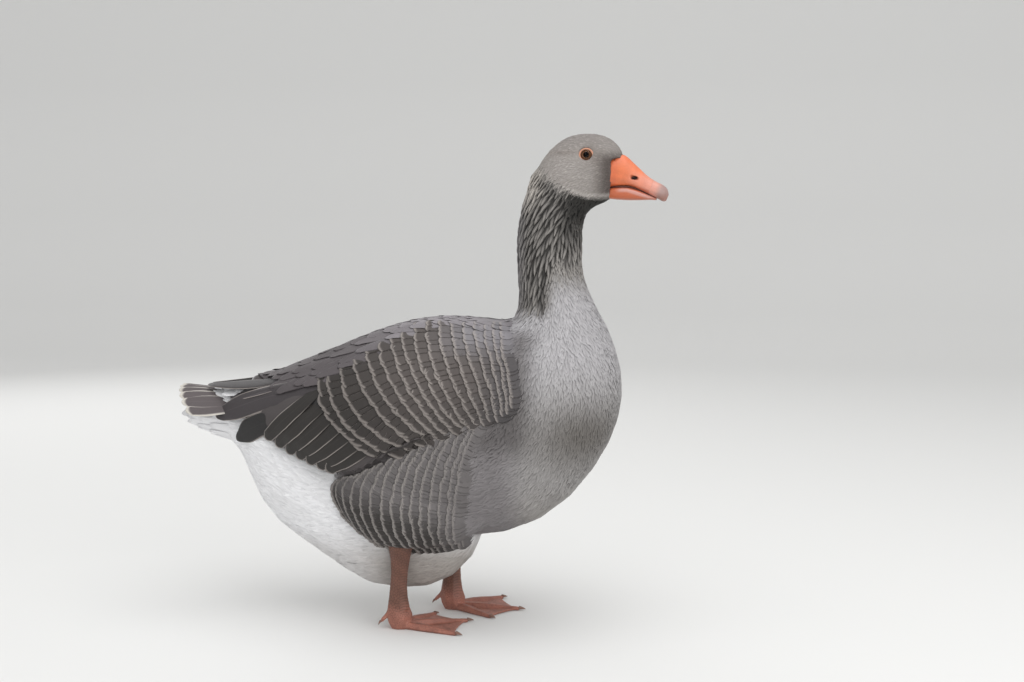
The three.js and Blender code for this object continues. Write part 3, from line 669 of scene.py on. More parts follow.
def lie(points):
    """The way the feathers point at places on the skin."""
    x, y, z = in_bird(points)
    away = (x[:, None] - LIE_GUIDE[:, 0]) ** 2 + (z[:, None] - LIE_GUIDE[:, 1]) ** 2
    weight = 1 / (away + 30) ** 1.6
    way = weight @ LIE_GUIDE[:, 2:] / weight.sum(1, keepdims=True)
    return unit(np.stack([way[:, 0], np.zeros(len(x)), way[:, 1]], axis=1))


def join(target, source):
    """Feeds a socket from another one, or sets it to a number or a colour."""
    if isinstance(source, (int, float, tuple)):
        target.default_value = source
    else:
        target.id_data.links.new(source, target)


def sums(tree, operation, *values):
    made = add_node(tree, "ShaderNodeMath", operation=operation)
    for socket, value in zip(made.inputs, values):
        join(socket, value)
    return made.outputs[0]


def slope(tree, value, low, high):
    """0 at low and 1 at high."""
    made = add_node(tree, "ShaderNodeMapRange", interpolation_type="SMOOTHSTEP")
    for socket, source in (("Value", value), ("From Min", low), ("From Max", high)):
        join(made.inputs[socket], source)
    return made.outputs["Result"]


def blend(tree, share, first, second):
    made = add_node(tree, "ShaderNodeMix", data_type="RGBA")
    for socket, source in (("Factor", share), (6, first), (7, second)):
        join(made.inputs[socket], source)
    return made.outputs[2]


def scaled(tree, colour, share):
    made = add_node(tree, "ShaderNodeVectorMath", operation="SCALE")
    join(made.inputs[0], colour)
    join(made.inputs["Scale"], share)
    return made.outputs[0]


def grain(tree, scale, detail=2.0, place=None):
    """Noise over a piece, or over the places given."""
    made = add_node(tree, "ShaderNodeTexNoise")
    join(made.inputs["Vector"], place or add_node(tree, "ShaderNodeTexCoord").outputs["Object"])
    made.inputs["Scale"].default_value = scale
    made.inputs["Detail"].default_value = detail
    return made.outputs["Fac"]


def bumped(shader, height, relief, strength):
    """Makes a surface look as uneven as a height says, relief metres deep."""
    tree = shader.id_data
    bump = add_node(tree, "ShaderNodeBump")
    bump.inputs["Distance"].default_value = relief
    bump.inputs["Strength"].default_value = strength
    join(bump.inputs["Height"], height)
    join(shader.inputs["Normal"], bump.outputs["Normal"])


# The web of a feather: barbs that run out and forward from the shaft, a paler fringe along the edge and the
# tip, and a thin shaft. One group for all feathers, fed with each feather's own colours and size.
web = bpy.data.node_groups.new("feather_web", "ShaderNodeTree")
for socket, kind in (("Plume", "Color"), ("Edge", "Color"), ("Vane", "Vector"), ("Size", "Vector")):
    web.interface.new_socket(socket, in_out="INPUT", socket_type="NodeSocket" + kind)
for socket, usual in (("Fringe mm", 1.2), ("Fringe", 0.8), ("Fringe full", 0.4), ("Side", 1.6),
                      ("Barbs", 0.25), ("Shaft", 0.3), ("Root shade", 0.4)):
    web.interface.new_socket(socket, in_out="INPUT", socket_type="NodeSocketFloat").default_value = usual
for socket, kind in (("Colour", "Color"), ("Height", "Float")):
    web.interface.new_socket(socket, in_out="OUTPUT", socket_type="NodeSocket" + kind)
given = add_node(web, "NodeGroupInput").outputs
plus, minus, times = (partial(sums, web, operation) for operation in ("ADD", "SUBTRACT", "MULTIPLY"))


def parts(source):
    """The three parts of a vector in the web."""
    made = add_node(web, "ShaderNodeSeparateXYZ")
    join(made.inputs[0], source)
    return made.outputs


across, along, _ = parts(given["Vane"])  # shares, from one edge to the other and from the root to the tip
width_mm, length_mm, odd = parts(given["Size"])  # odd is another number for every feather
from_shaft = sums(web, "ABSOLUTE", minus(across, 0.5))
shaft_mm = times(from_shaft, width_mm)
edge_mm = times(minus(0.5, from_shaft), width_mm)
along_mm = times(along, length_mm)
tip_mm = minus(length_mm, along_mm)
barb_place = add_node(web, "ShaderNodeCombineXYZ")
join(barb_place.inputs["X"], times(minus(along_mm, times(shaft_mm, 0.8)), 1.6))
join(barb_place.inputs["Y"], times(across, 2.0))
join(barb_place.inputs["Z"], times(odd, 37.0))
barbs = grain(web, 1.0, 3.0, barb_place.outputs[0])
to_edge = sums(web, "MINIMUM", times(edge_mm, given["Side"]), tip_mm)
to_edge = plus(to_edge, times(minus(barbs, 0.5), 1.1))
full_mm = times(given["Fringe mm"], given["Fringe full"])
fringe = minus(1.0, slope(web, to_edge, full_mm, times(given["Fringe mm"], 1.5)))
fringe = times(fringe, slope(web, along, 0.25, 0.6))
colour = blend(web, times(fringe, given["Fringe"]), given["Plume"], given["Edge"])
shade = plus(times(minus(barbs, 0.5), given["Barbs"]), times(minus(odd, 0.5), 0.12))
at_root = minus(1.0, slope(web, along, 0.1, 0.75))
shade = plus(shade, minus(1.0, times(at_root, given["Root shade"])))
shaft = times(minus(1.0, slope(web, shaft_mm, 0.15, 0.7)), given["Shaft"])
web_out = add_node(web, "NodeGroupOutput").inputs
join(web_out["Colour"], scaled(web, colour, plus(shade, shaft)))
join(web_out["Height"], plus(barbs, times(shaft, 2.0)))


def plumage_material(name, relief=0.0003, roughness=0.75, **own):
    """A feather material from the web group, with its own fringe, barbs and shaft."""
    made, shader = material(name, roughness)
    tree = made.node_tree
    group = add_node(tree, "ShaderNodeGroup", node_tree=web)
    join(group.inputs["Plume"], layer_of(tree, "plume"))
    join(group.inputs["Edge"], layer_of(tree, "edge"))
    join(group.inputs["Size"], layer_of(tree, "size", "Vector"))
    join(group.inputs["Vane"], add_node(tree, "ShaderNodeUVMap", uv_map="vane").outputs["UV"])
    for socket, value in own.items():
        group.inputs[socket.capitalize().replace("_", " ")].default_value = value
    join(shader.inputs["Base Color"], group.outputs["Colour"])
    bumped(shader, group.outputs["Height"], relief, 0.5)
    return made


# ---- Legs and feet ----
# Each leg has a stout shank and three webbed toes, with a short hind toe above the ground, in one leathery
# skin with small many-sided scales, larger on the shank and finest on the webs.
def leg_colour(points, edge):
    """Reddish brown, darker on the shank, with painted shade in the creases between scales, paler on the
    toes.
    """
    x, y, z = in_bird(points)
    colour = painted(paint(112, 74, 60), (ease(40, 12, z), (162, 106, 90)))
    cloud = 0.5 + 0.5 * np.sin(x * 0.21 + z * 0.13) * np.sin(y * 0.19 - z * 0.17 + 1)
    colour = colour * (0.84 + 0.3 * cloud[:, None])
    # painted shade in the creases between scales
    return colour * (0.5 + 0.6 * edge[:, None])


leg_matter, leg_shader = material("leg_skin", 0.5)
coloured(leg_shader, "tint")
bumped(leg_shader, grain(leg_matter.node_tree, 900, 3.0), 0.0003, 0.6)

for side in ("right", "left"):
    solids = ["shank_" + side, "foot_" + side]
    leg = one_surface("leg_" + side, [swollen(node, by=0.00025) for node in solids], cell=0.0008, rounds=9)
    points = array_of(leg.data.vertices, "co", 3)
    normals = array_of(leg.data.vertices, "normal", 3)
    rng = np.random.default_rng(101)
    x, y, z = in_bird(points)
    gap = (1.5 + 1.3 * ease(8, 30, z)) / 1000  # from one scale to the next
    near = near_tree(points)
    free = np.ones(len(points), bool)
    centres = []
    for i in rng.permutation(len(points)):
        if free[i]:
            centres.append(points[i])
            for _, other, _ in near.find_range(points[i].tolist(), gap[i]):
                free[other] = False
    scales = near_tree(centres)
    away = np.array([[hit[2] for hit in scales.find_n(point, 2)] for point in points.tolist()])
    edge = ease(0, 0.35, (away[:, 1] - away[:, 0]) / gap)  # 0 in the creases between scales
    front = ease(0.1, 0.5, normals[:, 0]) * ease(19, 25, z) * ease(88, 72, z)
    band = (z + 1.1 * np.sin(x * 0.4)) / 3.6 % 1  # down the front of the shank the scales are broad bands
    edge = edge * (1 - front) + ease(0, 0.2, np.minimum(band, 1 - band)) * front
    in_sight = ease(118, 96, z)
    relief = (edge - 1) * (0.00024 + 0.0002 * ease(8, 30, z)) * in_sight - 0.00012
    points = points + normals * relief[:, None]
    points[:, 2] = np.maximum(points[:, 2], 0)
    moved(leg, points)
    set_colour(leg.data, "tint", leg_colour(points, edge))
    print(leg.name, len(leg.data.polygons), "faces")
    dress(leg, leg_matter, "leg", *solids)


# ---- Claws ----
# Short blunt horn cones on the ends of the toes.
LEG_SPREAD = 52  # from the middle plane to the middle of each leg
TOES = {"inner": (72, 37), "middle": (90, 0), "outer": (82, -43)}  # length, degrees out from the middle toe
FEET = {"right": (-28, -1, 27), "left": (19, 1, -3)}  # x of the ankle, side, degrees the foot turns in
CLAW_MESH = (12, 20)  # rings, points in a ring
claw_matter, claw_shader = material("claw_horn", 0.35)
claw_tree = claw_matter.node_tree
claw_tint = blend(claw_tree, grain(claw_tree, 260), (*paint(150, 112, 96), 1), (*paint(98, 72, 62), 1))
join(claw_shader.inputs["Base Color"], claw_tint)


def turned(points, degrees, axis):
    """Points turned about an axis of the frame, 1 for y and 2 for z."""
    c, s = math.cos(math.radians(degrees)), math.sin(math.radians(degrees))
    x, y, z = points.T
    if axis == 2:
        return np.stack([x * c - y * s, x * s + y * c, z], axis=1)
    return np.stack([x * c + z * s, y, -x * s + z * c], axis=1)


def claw(length, wide):
    share = np.linspace(0, 1, CLAW_MESH[0])[:, None]
    angle = np.linspace(0, 2 * math.pi, CLAW_MESH[1], endpoint=False)[None]
    size = wide / 2 * (1 - 0.82 * share) * np.sqrt(np.clip(1 - share**7, 0.04, 1))
    x, z = length * share + 0 * angle, 3.4 - 1.7 * share**2 + size * 0.8 * np.sin(angle)
    return np.stack([x, size * np.cos(angle), z], axis=-1).reshape(-1, 3)


for side, (foot_x, sign, turn) in FEET.items():
    for toe in ("inner", "middle", "outer", "hind"):
        if toe == "hind":
            points = claw(length=6, wide=4.5) + (19.1, 0, -1.2)
            points = turned(turned(points, 38, 1), 180, 2) + (-8, 0, 21)
        else:
            reach, out = TOES[toe]
            points = turned(claw(length=9, wide=6.2) + (reach + 0.1, 0, 0), out, 2)
        points = turned(points, turn, 2) + (foot_x, -LEG_SPREAD, 0)
        points = points * (1, -sign, 1) / 1000 + (ZERO_X, 0, 0)
        made = piece("claw_horn_" + side + "_" + toe, points, tube_faces(*CLAW_MESH))
        dress(made, claw_matter, "claw", "claw_" + side + "_" + toe)


# ---- Bill ----
# A deep orange wedge in waxy skin over bone, with slit nostrils high on each side and a pale horny nail at
# the tip. The lower half is a shallower trough, ribbed along its edge, that shows as a pink strip under the
# mouth.
UPPER_BILL = [
    (229, 598, 227, 561, 15.8, 0.34, 1.12),
    (240, 601, 238, 562, 16.6, 0.34, 1.12),
    (252, 602, 248, 562.5, 16, 0.32, 1.08),
    (266, 590, 260, 562.5, 14.8, 0.32, 1.1),
    (280, 577, 272, 558, 13.4, 0.34, 1.15),
    (291, 569.5, 284, 552.5, 12.2, 0.4, 1.2),
    (300, 565, 294, 547.5, 10.4, 0.45, 1.25),
    (305.5, 560, 300, 544.5, 7.4, 0.5, 1.2),
    (307.5, 553, 304, 545, 3, 0.5, 1),
]
LOWER_BILL = [
    (229, 561, 229, 548.5, 9, 0.7, 1.2),
    (240, 562.3, 240, 547, 12.6, 0.7, 1.2),
    (256, 562.6, 256, 546, 13.4, 0.7, 1.2),
    (270, 558.9, 270, 546, 11.8, 0.7, 1.2),
    (283, 552.9, 283, 546.3, 9.8, 0.6, 1.2),
    (292, 549, 292, 546, 6.5, 0.5, 1),
]
NOSTRIL = (265.3, 573.6)
NOSTRIL_TILT = 0.35
NAIL_RING = 117  # the ring of the upper half where the nail begins
RIB_PITCH = 1.9
MOUTH = [  # a dark lining between the two halves, painted shade in the gap of the mouth
    (235, 564, 235, 558, 8, 0.7, 0.7), (246, 565, 246, 559, 10.4, 0.7, 0.7),
    (258, 564.5, 258, 559, 10.4, 0.7, 0.7), (270, 561, 270, 555.5, 9, 0.7, 0.7),
    (282, 555, 282, 550, 7, 0.7, 0.7), (291, 550, 291, 547, 4, 0.7, 0.7),
]


def bill_colour(points):
    x, y, z = in_bird(points)
    from_slit = np.hypot((x - NOSTRIL[0] - 0.3 * (z - NOSTRIL[1])) / 4.2, (z - NOSTRIL[1]) / 2.4)
    colour = painted(
        paint(218, 116, 72),
        (ease(266, 290, x + 0.5 * (575 - z)) * 0.8, (214, 146, 128)),  # pink towards the nail
        (spot(x, z, 268, 571, 10, 7) * 0.6, (222, 150, 130)),  # pink round the nostril
        (ease(589, 598, z) * 0.5, (214, 104, 62)),  # ridge
        (ease(248, 240, x) * 0.5, (206, 100, 62)),  # root
        # painted shade in the slit of the nostril
        (ease(1.25, 0.7, from_slit), (44, 18, 13)),
        (ease(566, 562.5, z + 0.3 * np.maximum(x - 262, 0)) * ease(305, 290, x) * 0.55, (196, 96, 66)),  # lip, painted shade along the mouth line
    )
    cloud = np.sin(x * 0.33 + z * 0.21) * np.sin(z * 0.37 - x * 0.11 + y * 0.3)
    return colour * (1 + 0.05 * cloud[:, None])


def nail_colour(points):
    x, y, z = in_bird(points)
    low, back = ease(556, 547, z), ease(299, 288, x - 0.4 * (z - 556))
    return painted(paint(160, 130, 124), (low, (150, 106, 94)), (back, (212, 146, 128)))


def lower_colour(points):
    x, y, z = in_bird(points)
    strip = np.exp(-(((z - 562 + 0.32 * np.maximum(x - 256, 0) + 3.4) / 2.6) ** 4)) * ease(240, 250, x)
    return painted(paint(200, 104, 66), (strip * 0.9, (208, 154, 142)), (ease(549.5, 547, z), (176, 96, 66)))


def horn_material(name, roughness, coat):
    """Waxy skin or horn: a mottled colour under a thin gloss."""
    made, shader = material(name, roughness, Coat_Weight=coat, Coat_Roughness=0.25)
    tree = made.node_tree
    mottle = sums(tree, "ADD", 0.88, sums(tree, "MULTIPLY", grain(tree, 420, 4.0), 0.24))
    join(shader.inputs["Base Color"], scaled(tree, layer_of(tree, "tint"), mottle))
    bumped(shader, grain(tree, 900, 3.0), 0.0004, 0.35)
    return made


def bill_piece(name, rings, colour_of, matter, slot, *solids):
    made = piece(name, rings, tube_faces(*rings.shape[:2]))
    set_colour(made.data, "tint", colour_of(array_of(made.data.vertices, "co", 3)))
    dress(made, matter, slot, *solids)


rings = sections(UPPER_BILL, 193, 144)
x, y, z = in_bird(rings)
away_x, away_z = x - NOSTRIL[0], z - NOSTRIL[1]
slit_x = away_x * math.cos(NOSTRIL_TILT) - away_z * math.sin(NOSTRIL_TILT)
slit_z = away_x * math.sin(NOSTRIL_TILT) + away_z * math.cos(NOSTRIL_TILT)
pit = np.exp(-((slit_x / 4.6) ** 4) - (slit_z / 2.1) ** 4)
basin = np.exp(-((slit_x / 13) ** 2) - (slit_z / 6.5) ** 2)
rim = np.exp(-(((np.hypot(slit_x / 6, slit_z / 2.9) - 1) / 0.3) ** 2))
lip = np.exp(-(((z - 566 + 0.35 * np.maximum(x - 262, 0)) / 1.6) ** 2))
lip = lip * ease(304, 290, x) * ease(234, 242, x)
push = -4.6 * pit - 0.7 * basin + 0.4 * rim + 0.35 * lip
rings[..., 1] += np.sign(rings[..., 1]) * push * ease(2, 8, y) / 1000
bill_horn = horn_material("bill_skin", 0.42, 0.25)
nail_horn = horn_material("nail_horn", 0.34, 0.3)
bill_piece("bill_skin_upper", rings[:NAIL_RING], bill_colour, bill_horn, "bill", "bill_upper")
bill_piece("bill_horn_nail", rings[NAIL_RING - 1:], nail_colour, nail_horn, "nail", "bill_nail")

rings = sections(LOWER_BILL, 73, 64)
x, y, z = in_bird(rings)
top = LOWER_BILL[2][1] - 0.30 * np.maximum(x - 256, 0) ** 1.05
ribs = np.sin(x * 2 * math.pi / RIB_PITCH) * np.exp(-(((z - top + 2.6) / 1.8) ** 2))
ribs = ribs * ease(238, 246, x) * ease(292, 280, x)
rings[..., 1] += np.sign(rings[..., 1]) * 0.16 * ribs * ease(2, 6, y) / 1000
bill_piece("bill_skin_lower", rings, lower_colour, bill_horn, "bill", "bill_lower")
# the mouth's dark colour is painted shade in the gap between the halves
bill_piece("mouth", sections(MOUTH, 33, 32), lambda points: paint(88, 46, 36), bill_horn, "bill")


# ---- Eyes ----
# A round brown eye 14 mm across in a ring of bare orange skin. Under the clear bulging front the iris lies
# like a shallow dish with a round dark pupil.
EYE_RADIUS = 9
EYE_MESH = (40, 64)
LID_RADIUS = 7.7
SIDES = (("right", -1), ("left", 1))
eye_matter, eye_shader = material("eye_iris", 0.4, IOR=1.12)
coloured(eye_shader, "tint")
clear_matter, _ = material("eye_clear_front", 0.02, IOR=1.16, Transmission_Weight=1.0,
                           Base_Color=(0.97, 0.97, 0.96, 1))
lid_matter = horn_material("lid_skin", 0.5, 0.1)


def dome(radius, dish):
    """A ball whose pole looks along +x, with a dish pressed into it by dish millimetres."""
    polar = np.linspace(0, math.pi, EYE_MESH[0])[:, None]
    turn = np.linspace(0, 2 * math.pi, EYE_MESH[1], endpoint=False)[None]
    across = radius * np.sin(polar) + 0 * turn
    out = radius * np.cos(polar) - dish * ease(0.8, 0.55, polar) + 0 * turn
    return np.stack([out, across * np.cos(turn), across * np.sin(turn)], axis=-1)


for side, sign in SIDES:
    centre = np.array([EYE[0], sign * EYE[1], EYE[2]])

    def placed(local):
        """From a ball that looks along +x to the eye, which looks sideways and a little forward."""
        look = unit(np.array([0.12, sign, 0.03]))
        level = unit(np.array([look[1], -look[0], 0]))
        raised = np.cross(level, look)
        turned_to = local[..., 0:1] * look + local[..., 1:2] * level + local[..., 2:3] * raised
        return (centre + turned_to) / 1000 + (ZERO_X, 0, 0)

    ball = dome(EYE_RADIUS - 0.7, 1.4)
    from_axis = np.hypot(ball[..., 1], ball[..., 2]).ravel()
    turn = np.arctan2(ball[..., 2], ball[..., 1]).ravel()
    rays = 0.5 + 0.5 * np.sin(turn * 23 + np.sin(turn * 7) * 2)
    iris = paint(108, 74, 53) * (0.7 + 0.45 * rays[:, None]) * (1 - 0.55 * ease(5.2, 6.8, from_axis))[:, None]
    tint = painted(iris, (ease(3.9, 3.5, from_axis) * (ball[..., 0].ravel() > 0), (14, 11, 10)))  # the pupil
    globe = piece("eye_globe_" + side, placed(ball), tube_faces(*EYE_MESH))
    near = near_tree(placed(ball).reshape(-1, 3))
    set_colour(globe.data, "tint", tint[[near.find(v.co)[1] for v in globe.data.vertices]])
    dress(globe, eye_matter, "eye", "eye_" + side)
    front = piece("eye_front_" + side, placed(dome(EYE_RADIUS - 0.02, 0)), tube_faces(*EYE_MESH))
    dress(front, clear_matter, "eye", "eye_" + side)
    share = np.linspace(0, 2 * math.pi, 120, endpoint=False)[:, None]
    section = np.linspace(0, 2 * math.pi, 16, endpoint=False)[None]
    wrinkle = 1 + 0.1 * np.sin(share * 29 + 2 * np.sin(share * 5)) + 0.05 * np.sin(share * 53)
    ring_r = LID_RADIUS + 0.35 * np.cos(2 * share) + 1.1 * np.cos(section) * wrinkle
    depth = math.sqrt((EYE_RADIUS + 0.15) ** 2 - LID_RADIUS**2) + 0.85 * np.sin(section) * wrinkle
    lid = np.stack([depth, ring_r * np.cos(share), ring_r * np.sin(share)], axis=-1)
    i, j = np.meshgrid(np.arange(120), np.arange(16), indexing="ij")
    ni, nj = (i + 1) % 120, (j + 1) % 16
    quads = np.stack([i * 16 + j, i * 16 + nj, ni * 16 + nj, ni * 16 + j], axis=-1).reshape(-1, 4).tolist()
    lid = piece("eye_lid_" + side, placed(lid), quads)
    set_colour(lid.data, "tint", paint(206, 148, 120))
    dress(lid, lid_matter, "eye")


# ---- Small feathers of the head ----
# The head wears a dense plush of feathers 2 mm wide that lie flat back from the bill and down the cheeks.
# Here, as on the breast and belly, each tuft is a few barbs of a feather: it fans out from the shaft of its
# own feather and takes a paler tone at that feather's edge.
TUFT = np.array([0, 0.5, 1])


def alike(size):
    """The same size everywhere."""
    return lambda points: np.full(len(points), size)


def tufted(name, where, gap, seed, reach, width, feather, tone, depth, fan=0.5, slim=0.3):
    """Tufts over part of the skin. gap, reach and width are in metres; feather is the size of the feathers
    that the tufts make up. tone is how much paler their edges are, depth the share of the coat that the tufts
    fill and slim the width of their tips."""
    roots, rng = scatter(gap, where, seed)
    shafts, _ = scatter(feather, where, seed + 500)
    normal = on_skin(roots)[1]
    near = near_tree(shafts)
    found = [near.find_n(p, 2) for p in roots.tolist()]
    own = np.array([f[0][1] for f in found])
    margin = np.array([f[1][2] - f[0][2] for f in found]) / feather(roots)
    way = lie(roots)
    way = unit(way - normal * (way * normal).sum(1, keepdims=True))
    side = np.cross(normal, way)
    offset = (roots - shafts[own]) / feather(roots)[:, None]
    along, across = (offset * way).sum(1), (offset * side).sum(1)
    heading = unit(way + side * (fan * across)[:, None] + rng.normal(0, 0.1, roots.shape))
    at_edge = ease(0.4, 0.1, margin) * ease(-0.1, 0.35, along)
    length = reach(roots) * rng.uniform(0.85, 1.2, len(roots))
    spine, up, root_uv = lay(roots, heading, length, TUFT)
    share = (0.78 + 0.22 * ease(-0.5, 0.5, along)) * depth * coat_depth(roots) * 1000
    spine = lifted(spine, up, [0.1, 0.75, 1], share * (1 - 0.7 * on_wing(roots)))
    shade = (1 - 0.4 * tone + tone * 1.4 * at_edge) * rng.uniform(0.95, 1.05, len(roots))
    tint = plumage(spine[:, 1]) * shade[:, None]
    half = (width(roots) * rng.uniform(0.8, 1.15, len(roots)))[:, None] / 2 * np.array([0.8, 1, slim])
    return feathers(name, spine, up, half, TUFT, root_uv, tint, tint * 1.1, sides=3, camber=0.3, downy=True,
                    seed=seed)


def on_head(points):
    x, y, z = in_bird(points)
    off_lid = np.hypot(x - EYE[0], z - EYE[2]) > 8.6
    return ease(-6, 2, over_jaw(points)) * (past_face(points) < 0.1) * off_lid


def head_gap(points):
    x, y, z = in_bird(points)
    return (1.5 - 0.3 * ease(22, 12, np.hypot(x - EYE[0], z - EYE[2])) - 0.2 * ease(222, 236, x)) / 1000


soft = plumage_material("plumage_soft", relief=0.0002, fringe_mm=0.5, fringe=0.3, barbs=0.12, shaft=0,
                        root_shade=0.1)
plush = tufted("plush_head", on_head, head_gap, 11, lambda p: 2.9 * head_gap(p), lambda p: 1.15 * head_gap(p),
               alike(0.0045), fan=0.3, tone=0.13, depth=0.75)
dress(plush, soft, "plumage_head")


# ---- Locks of the neck ----
# From the jaw down to a hand's breadth above the breast, the feathers of the neck hang together in narrow
# pointed locks that overlap, with deep dark furrows between them. They fade out downwards in an uneven line.
def furrowed(points):
    """1 where the locks are deep and 0 where there are none."""
    x, y, z = in_bird(points)
    low_end = 398 + 56 * ease(156, 170, x) + 5 * np.sin(0.42 * x + 0.35 * y)
    throat = ease(176, 196, x - 0.12 * (540 - z)) * ease(490, 530, z)
    return ease(low_end - 8, low_end + 34, z) * ease(6, -12, over_jaw(points)) * (1 - throat)


def lock_gap(points):
    return (4.5 - 1.4 * ease(-36, -2, over_jaw(points))) / 1000


roots, rng = scatter(lock_gap, lambda p: furrowed(p) > 0.1, 21, crowd=16, stretch=2.0)
count = len(roots)
LOCK_REACH, LOCK_HALF = 5.0, 0.62  # length and half width of a lock, in gaps from one to the next
LOCK = np.array([0, 0.14, 0.32, 0.52, 0.72, 0.88, 1])
LOCK_RISE = [0.1, 1.2, 2.3, 3.1, 3.3, 2.8, 1.8]  # millimetres over the skin
LOCK_FORM = np.array([0.35, 0.7, 0.95, 1, 0.82, 0.5, 0.1])
LOCK_EDGE_SHADE = np.array([0.18, 0.18, 0.18, 0.2, 0.3, 0.7, 1.25])  # how dark the edges are: painted shade down in the furrows
reach = lock_gap(roots) * LOCK_REACH * rng.uniform(0.8, 1.25, count)
heading = unit(lie(roots) + rng.normal(0, 0.1, roots.shape))
spine, up, root_uv = lay(roots - heading * reach[:, None] * 0.4, heading, reach, LOCK)
strength = 0.25 + 0.75 * furrowed(roots)
spine = lifted(spine, up, LOCK_RISE, strength * rng.uniform(0.85, 1.1, count))
half = lock_gap(roots)[:, None] * LOCK_HALF * LOCK_FORM * rng.uniform(0.8, 1.15, (count, 1))
tint = plumage(spine[:, 2]) * rng.uniform(0.8, 1.2, (count, 1)) * 1.02
shade = 1 - (1 - LOCK_EDGE_SHADE) * strength[:, None]
locks = feathers("locks_neck", spine, up, half, LOCK, root_uv, tint, tint[:, None] * shade[..., None],
                 camber=0.95, curve=2, fray=0.3, seed=22)
dress(locks, plumage_material("plumage_locks", relief=0.0005, fringe_mm=1.45, fringe=0.9, side=1.0, barbs=0.6,
                              shaft=0.1, root_shade=0.7), "plumage_neck")


# ---- Feathers of the neck's foot, breast and mantle ----
# Small round feathers with soft edges, laid like tiles, each a fan of tufts: deeper and looser on the breast,
# nearly flat on the trunk and the mantle behind it.
TRUNK_FROM = 140  # x where the feathers of the breast end and those of the trunk begin


def on_rump(points):
    x, y, z = in_bird(points)
    return (x < -192) & (x > -250) & (y < 34) & (z > 272)


def on_grey(points):
    x, y, z = in_bird(points)
    on_face = (over_jaw(points) > -2) | (past_face(points) > 0.3)
    under_quills = (x < -80) & (y > 40) & (z > 205) & (z < 300)
    bare = (on_wing(points) > 0.9) | (furrowed(points) > 0.6) | under_quills | on_rump(points)
    return (plumage(points)[:, 0] < 0.5) * (1 - on_face) * (1 - bare)


def grey_gap(points):
    x, y, z = in_bird(points)
    hidden = np.maximum(on_wing(points), ease(58, 44, x) * ease(245, 225, z) * ease(104, 118, z) * (y > 30))
    return (2.15 + 2.6 * hidden + 0.5 * furrowed(points)) / 1000


def grey_reach(points):
    x, y, z = in_bird(points)
    return (9.5 - 3.5 * ease(420, 480, z) + 3 * ease(110, 60, x)) / 1000


for name, depth, where in (("feathers_breast", 0.7, lambda p: on_grey(p) * (in_bird(p)[0] >= TRUNK_FROM)),
                           ("feathers_trunk", 0.5, lambda p: on_grey(p) * (in_bird(p)[0] < TRUNK_FROM))):
    tiles = tufted(name, where, grey_gap, 31, grey_reach, lambda p: 1.25 * grey_gap(p), alike(0.0085),
                   tone=0.06, depth=depth, slim=0.45)
    dress(tiles, soft, "plumage_trunk")


# ---- White feathers of the belly and rump ----
# Loose, downy white feathers from behind the legs up to the tail.
def on_white(points):
    x, y, z = in_bird(points)
    return (plumage(points)[:, 0] >= 0.5) * (x > -296) * (1 - on_rump(points))


downy_web = plumage_material("plumage_downy", relief=0.0001, fringe_mm=0.8, fringe=0.4, barbs=0.06, shaft=0,
                             root_shade=0)
white = tufted("feathers_white", on_white, alike(0.0026), 41, alike(0.014), alike(0.0044), alike(0.012),
               tone=0.03, depth=0.8)
dress(white, downy_web, "plumage_white")


# ---- Flank feathers ----
# Broad feathers lie in curved rows up the flank, each with a pale edge, and lap over the lower edge of the
# wing.
VANE = np.array([0, 0.3, 0.55, 0.75, 0.88, 0.95, 1])
WEB = dict(camber=0.01, square=2.2)  # a broad flat web with a square end


def side_rows(table, rows, pitch):
    """Tips of feathers in rows, as the side shows them: x, z, the way they point and the share along the
    table. A line of the table gives a row's upper end, middle and lower end."""
    found = []
    for i, (ax, az, mx, mz, bx, bz) in enumerate(stations(table, rows)):
        s = np.linspace(0, 1, 80)[:, None]
        a, m, b = np.array([(ax, az), (mx, mz), (bx, bz)])
        curve = (1 - s) ** 2 * a + 2 * s * (1 - s) * (2 * m - (a + b) / 2) + s**2 * b
        run = np.concatenate([[0], np.cumsum(np.linalg.norm(np.diff(curve, axis=0), axis=1))])
        share = i / (rows - 1)
        count = max(int(run[-1] / pitch(share)), 2)
        k = np.arange(count)
        wanted = (k + 0.25 + 0.5 * (i % 2) + 0.2 * np.sin(k * 2.4 + i)) / count * run[-1]
        x, z = (np.interp(wanted, run, curve[:, c]) for c in (0, 1))
        tx, tz = (np.interp(wanted, run, np.gradient(curve[:, c])) for c in (0, 1))
        size = np.hypot(tx, tz)
        found.append(np.stack([x, z, tz / size, -tx / size, np.full(count, share)], axis=1))
    return np.concatenate(found)


def seen(starts, way):
    """The places where lines from the starts along way first meet the skin, and which of them do."""
    hits = [skin_tree_of_faces.ray_cast(start, way)[0] for start in starts]
    there = np.array([h is not None for h in hits])
    return np.array([h for h in hits if h is not None]), there


def from_side(x, z, side):
    """The places on one side of the skin that the side view shows at x, z, and which of them there are."""
    return seen([bird(a, side * 300, b).tolist() for a, b in zip(x, z)], (0, -side, 0))


def taper(v, start, full, end):
    """Widths along a feather, as shares of the widest: at the root, at its fullest place and at the tip."""
    rising = start + (1 - start) * ease(0, full, v)
    return rising * (1 - (1 - end) * ease(full, 1, v))


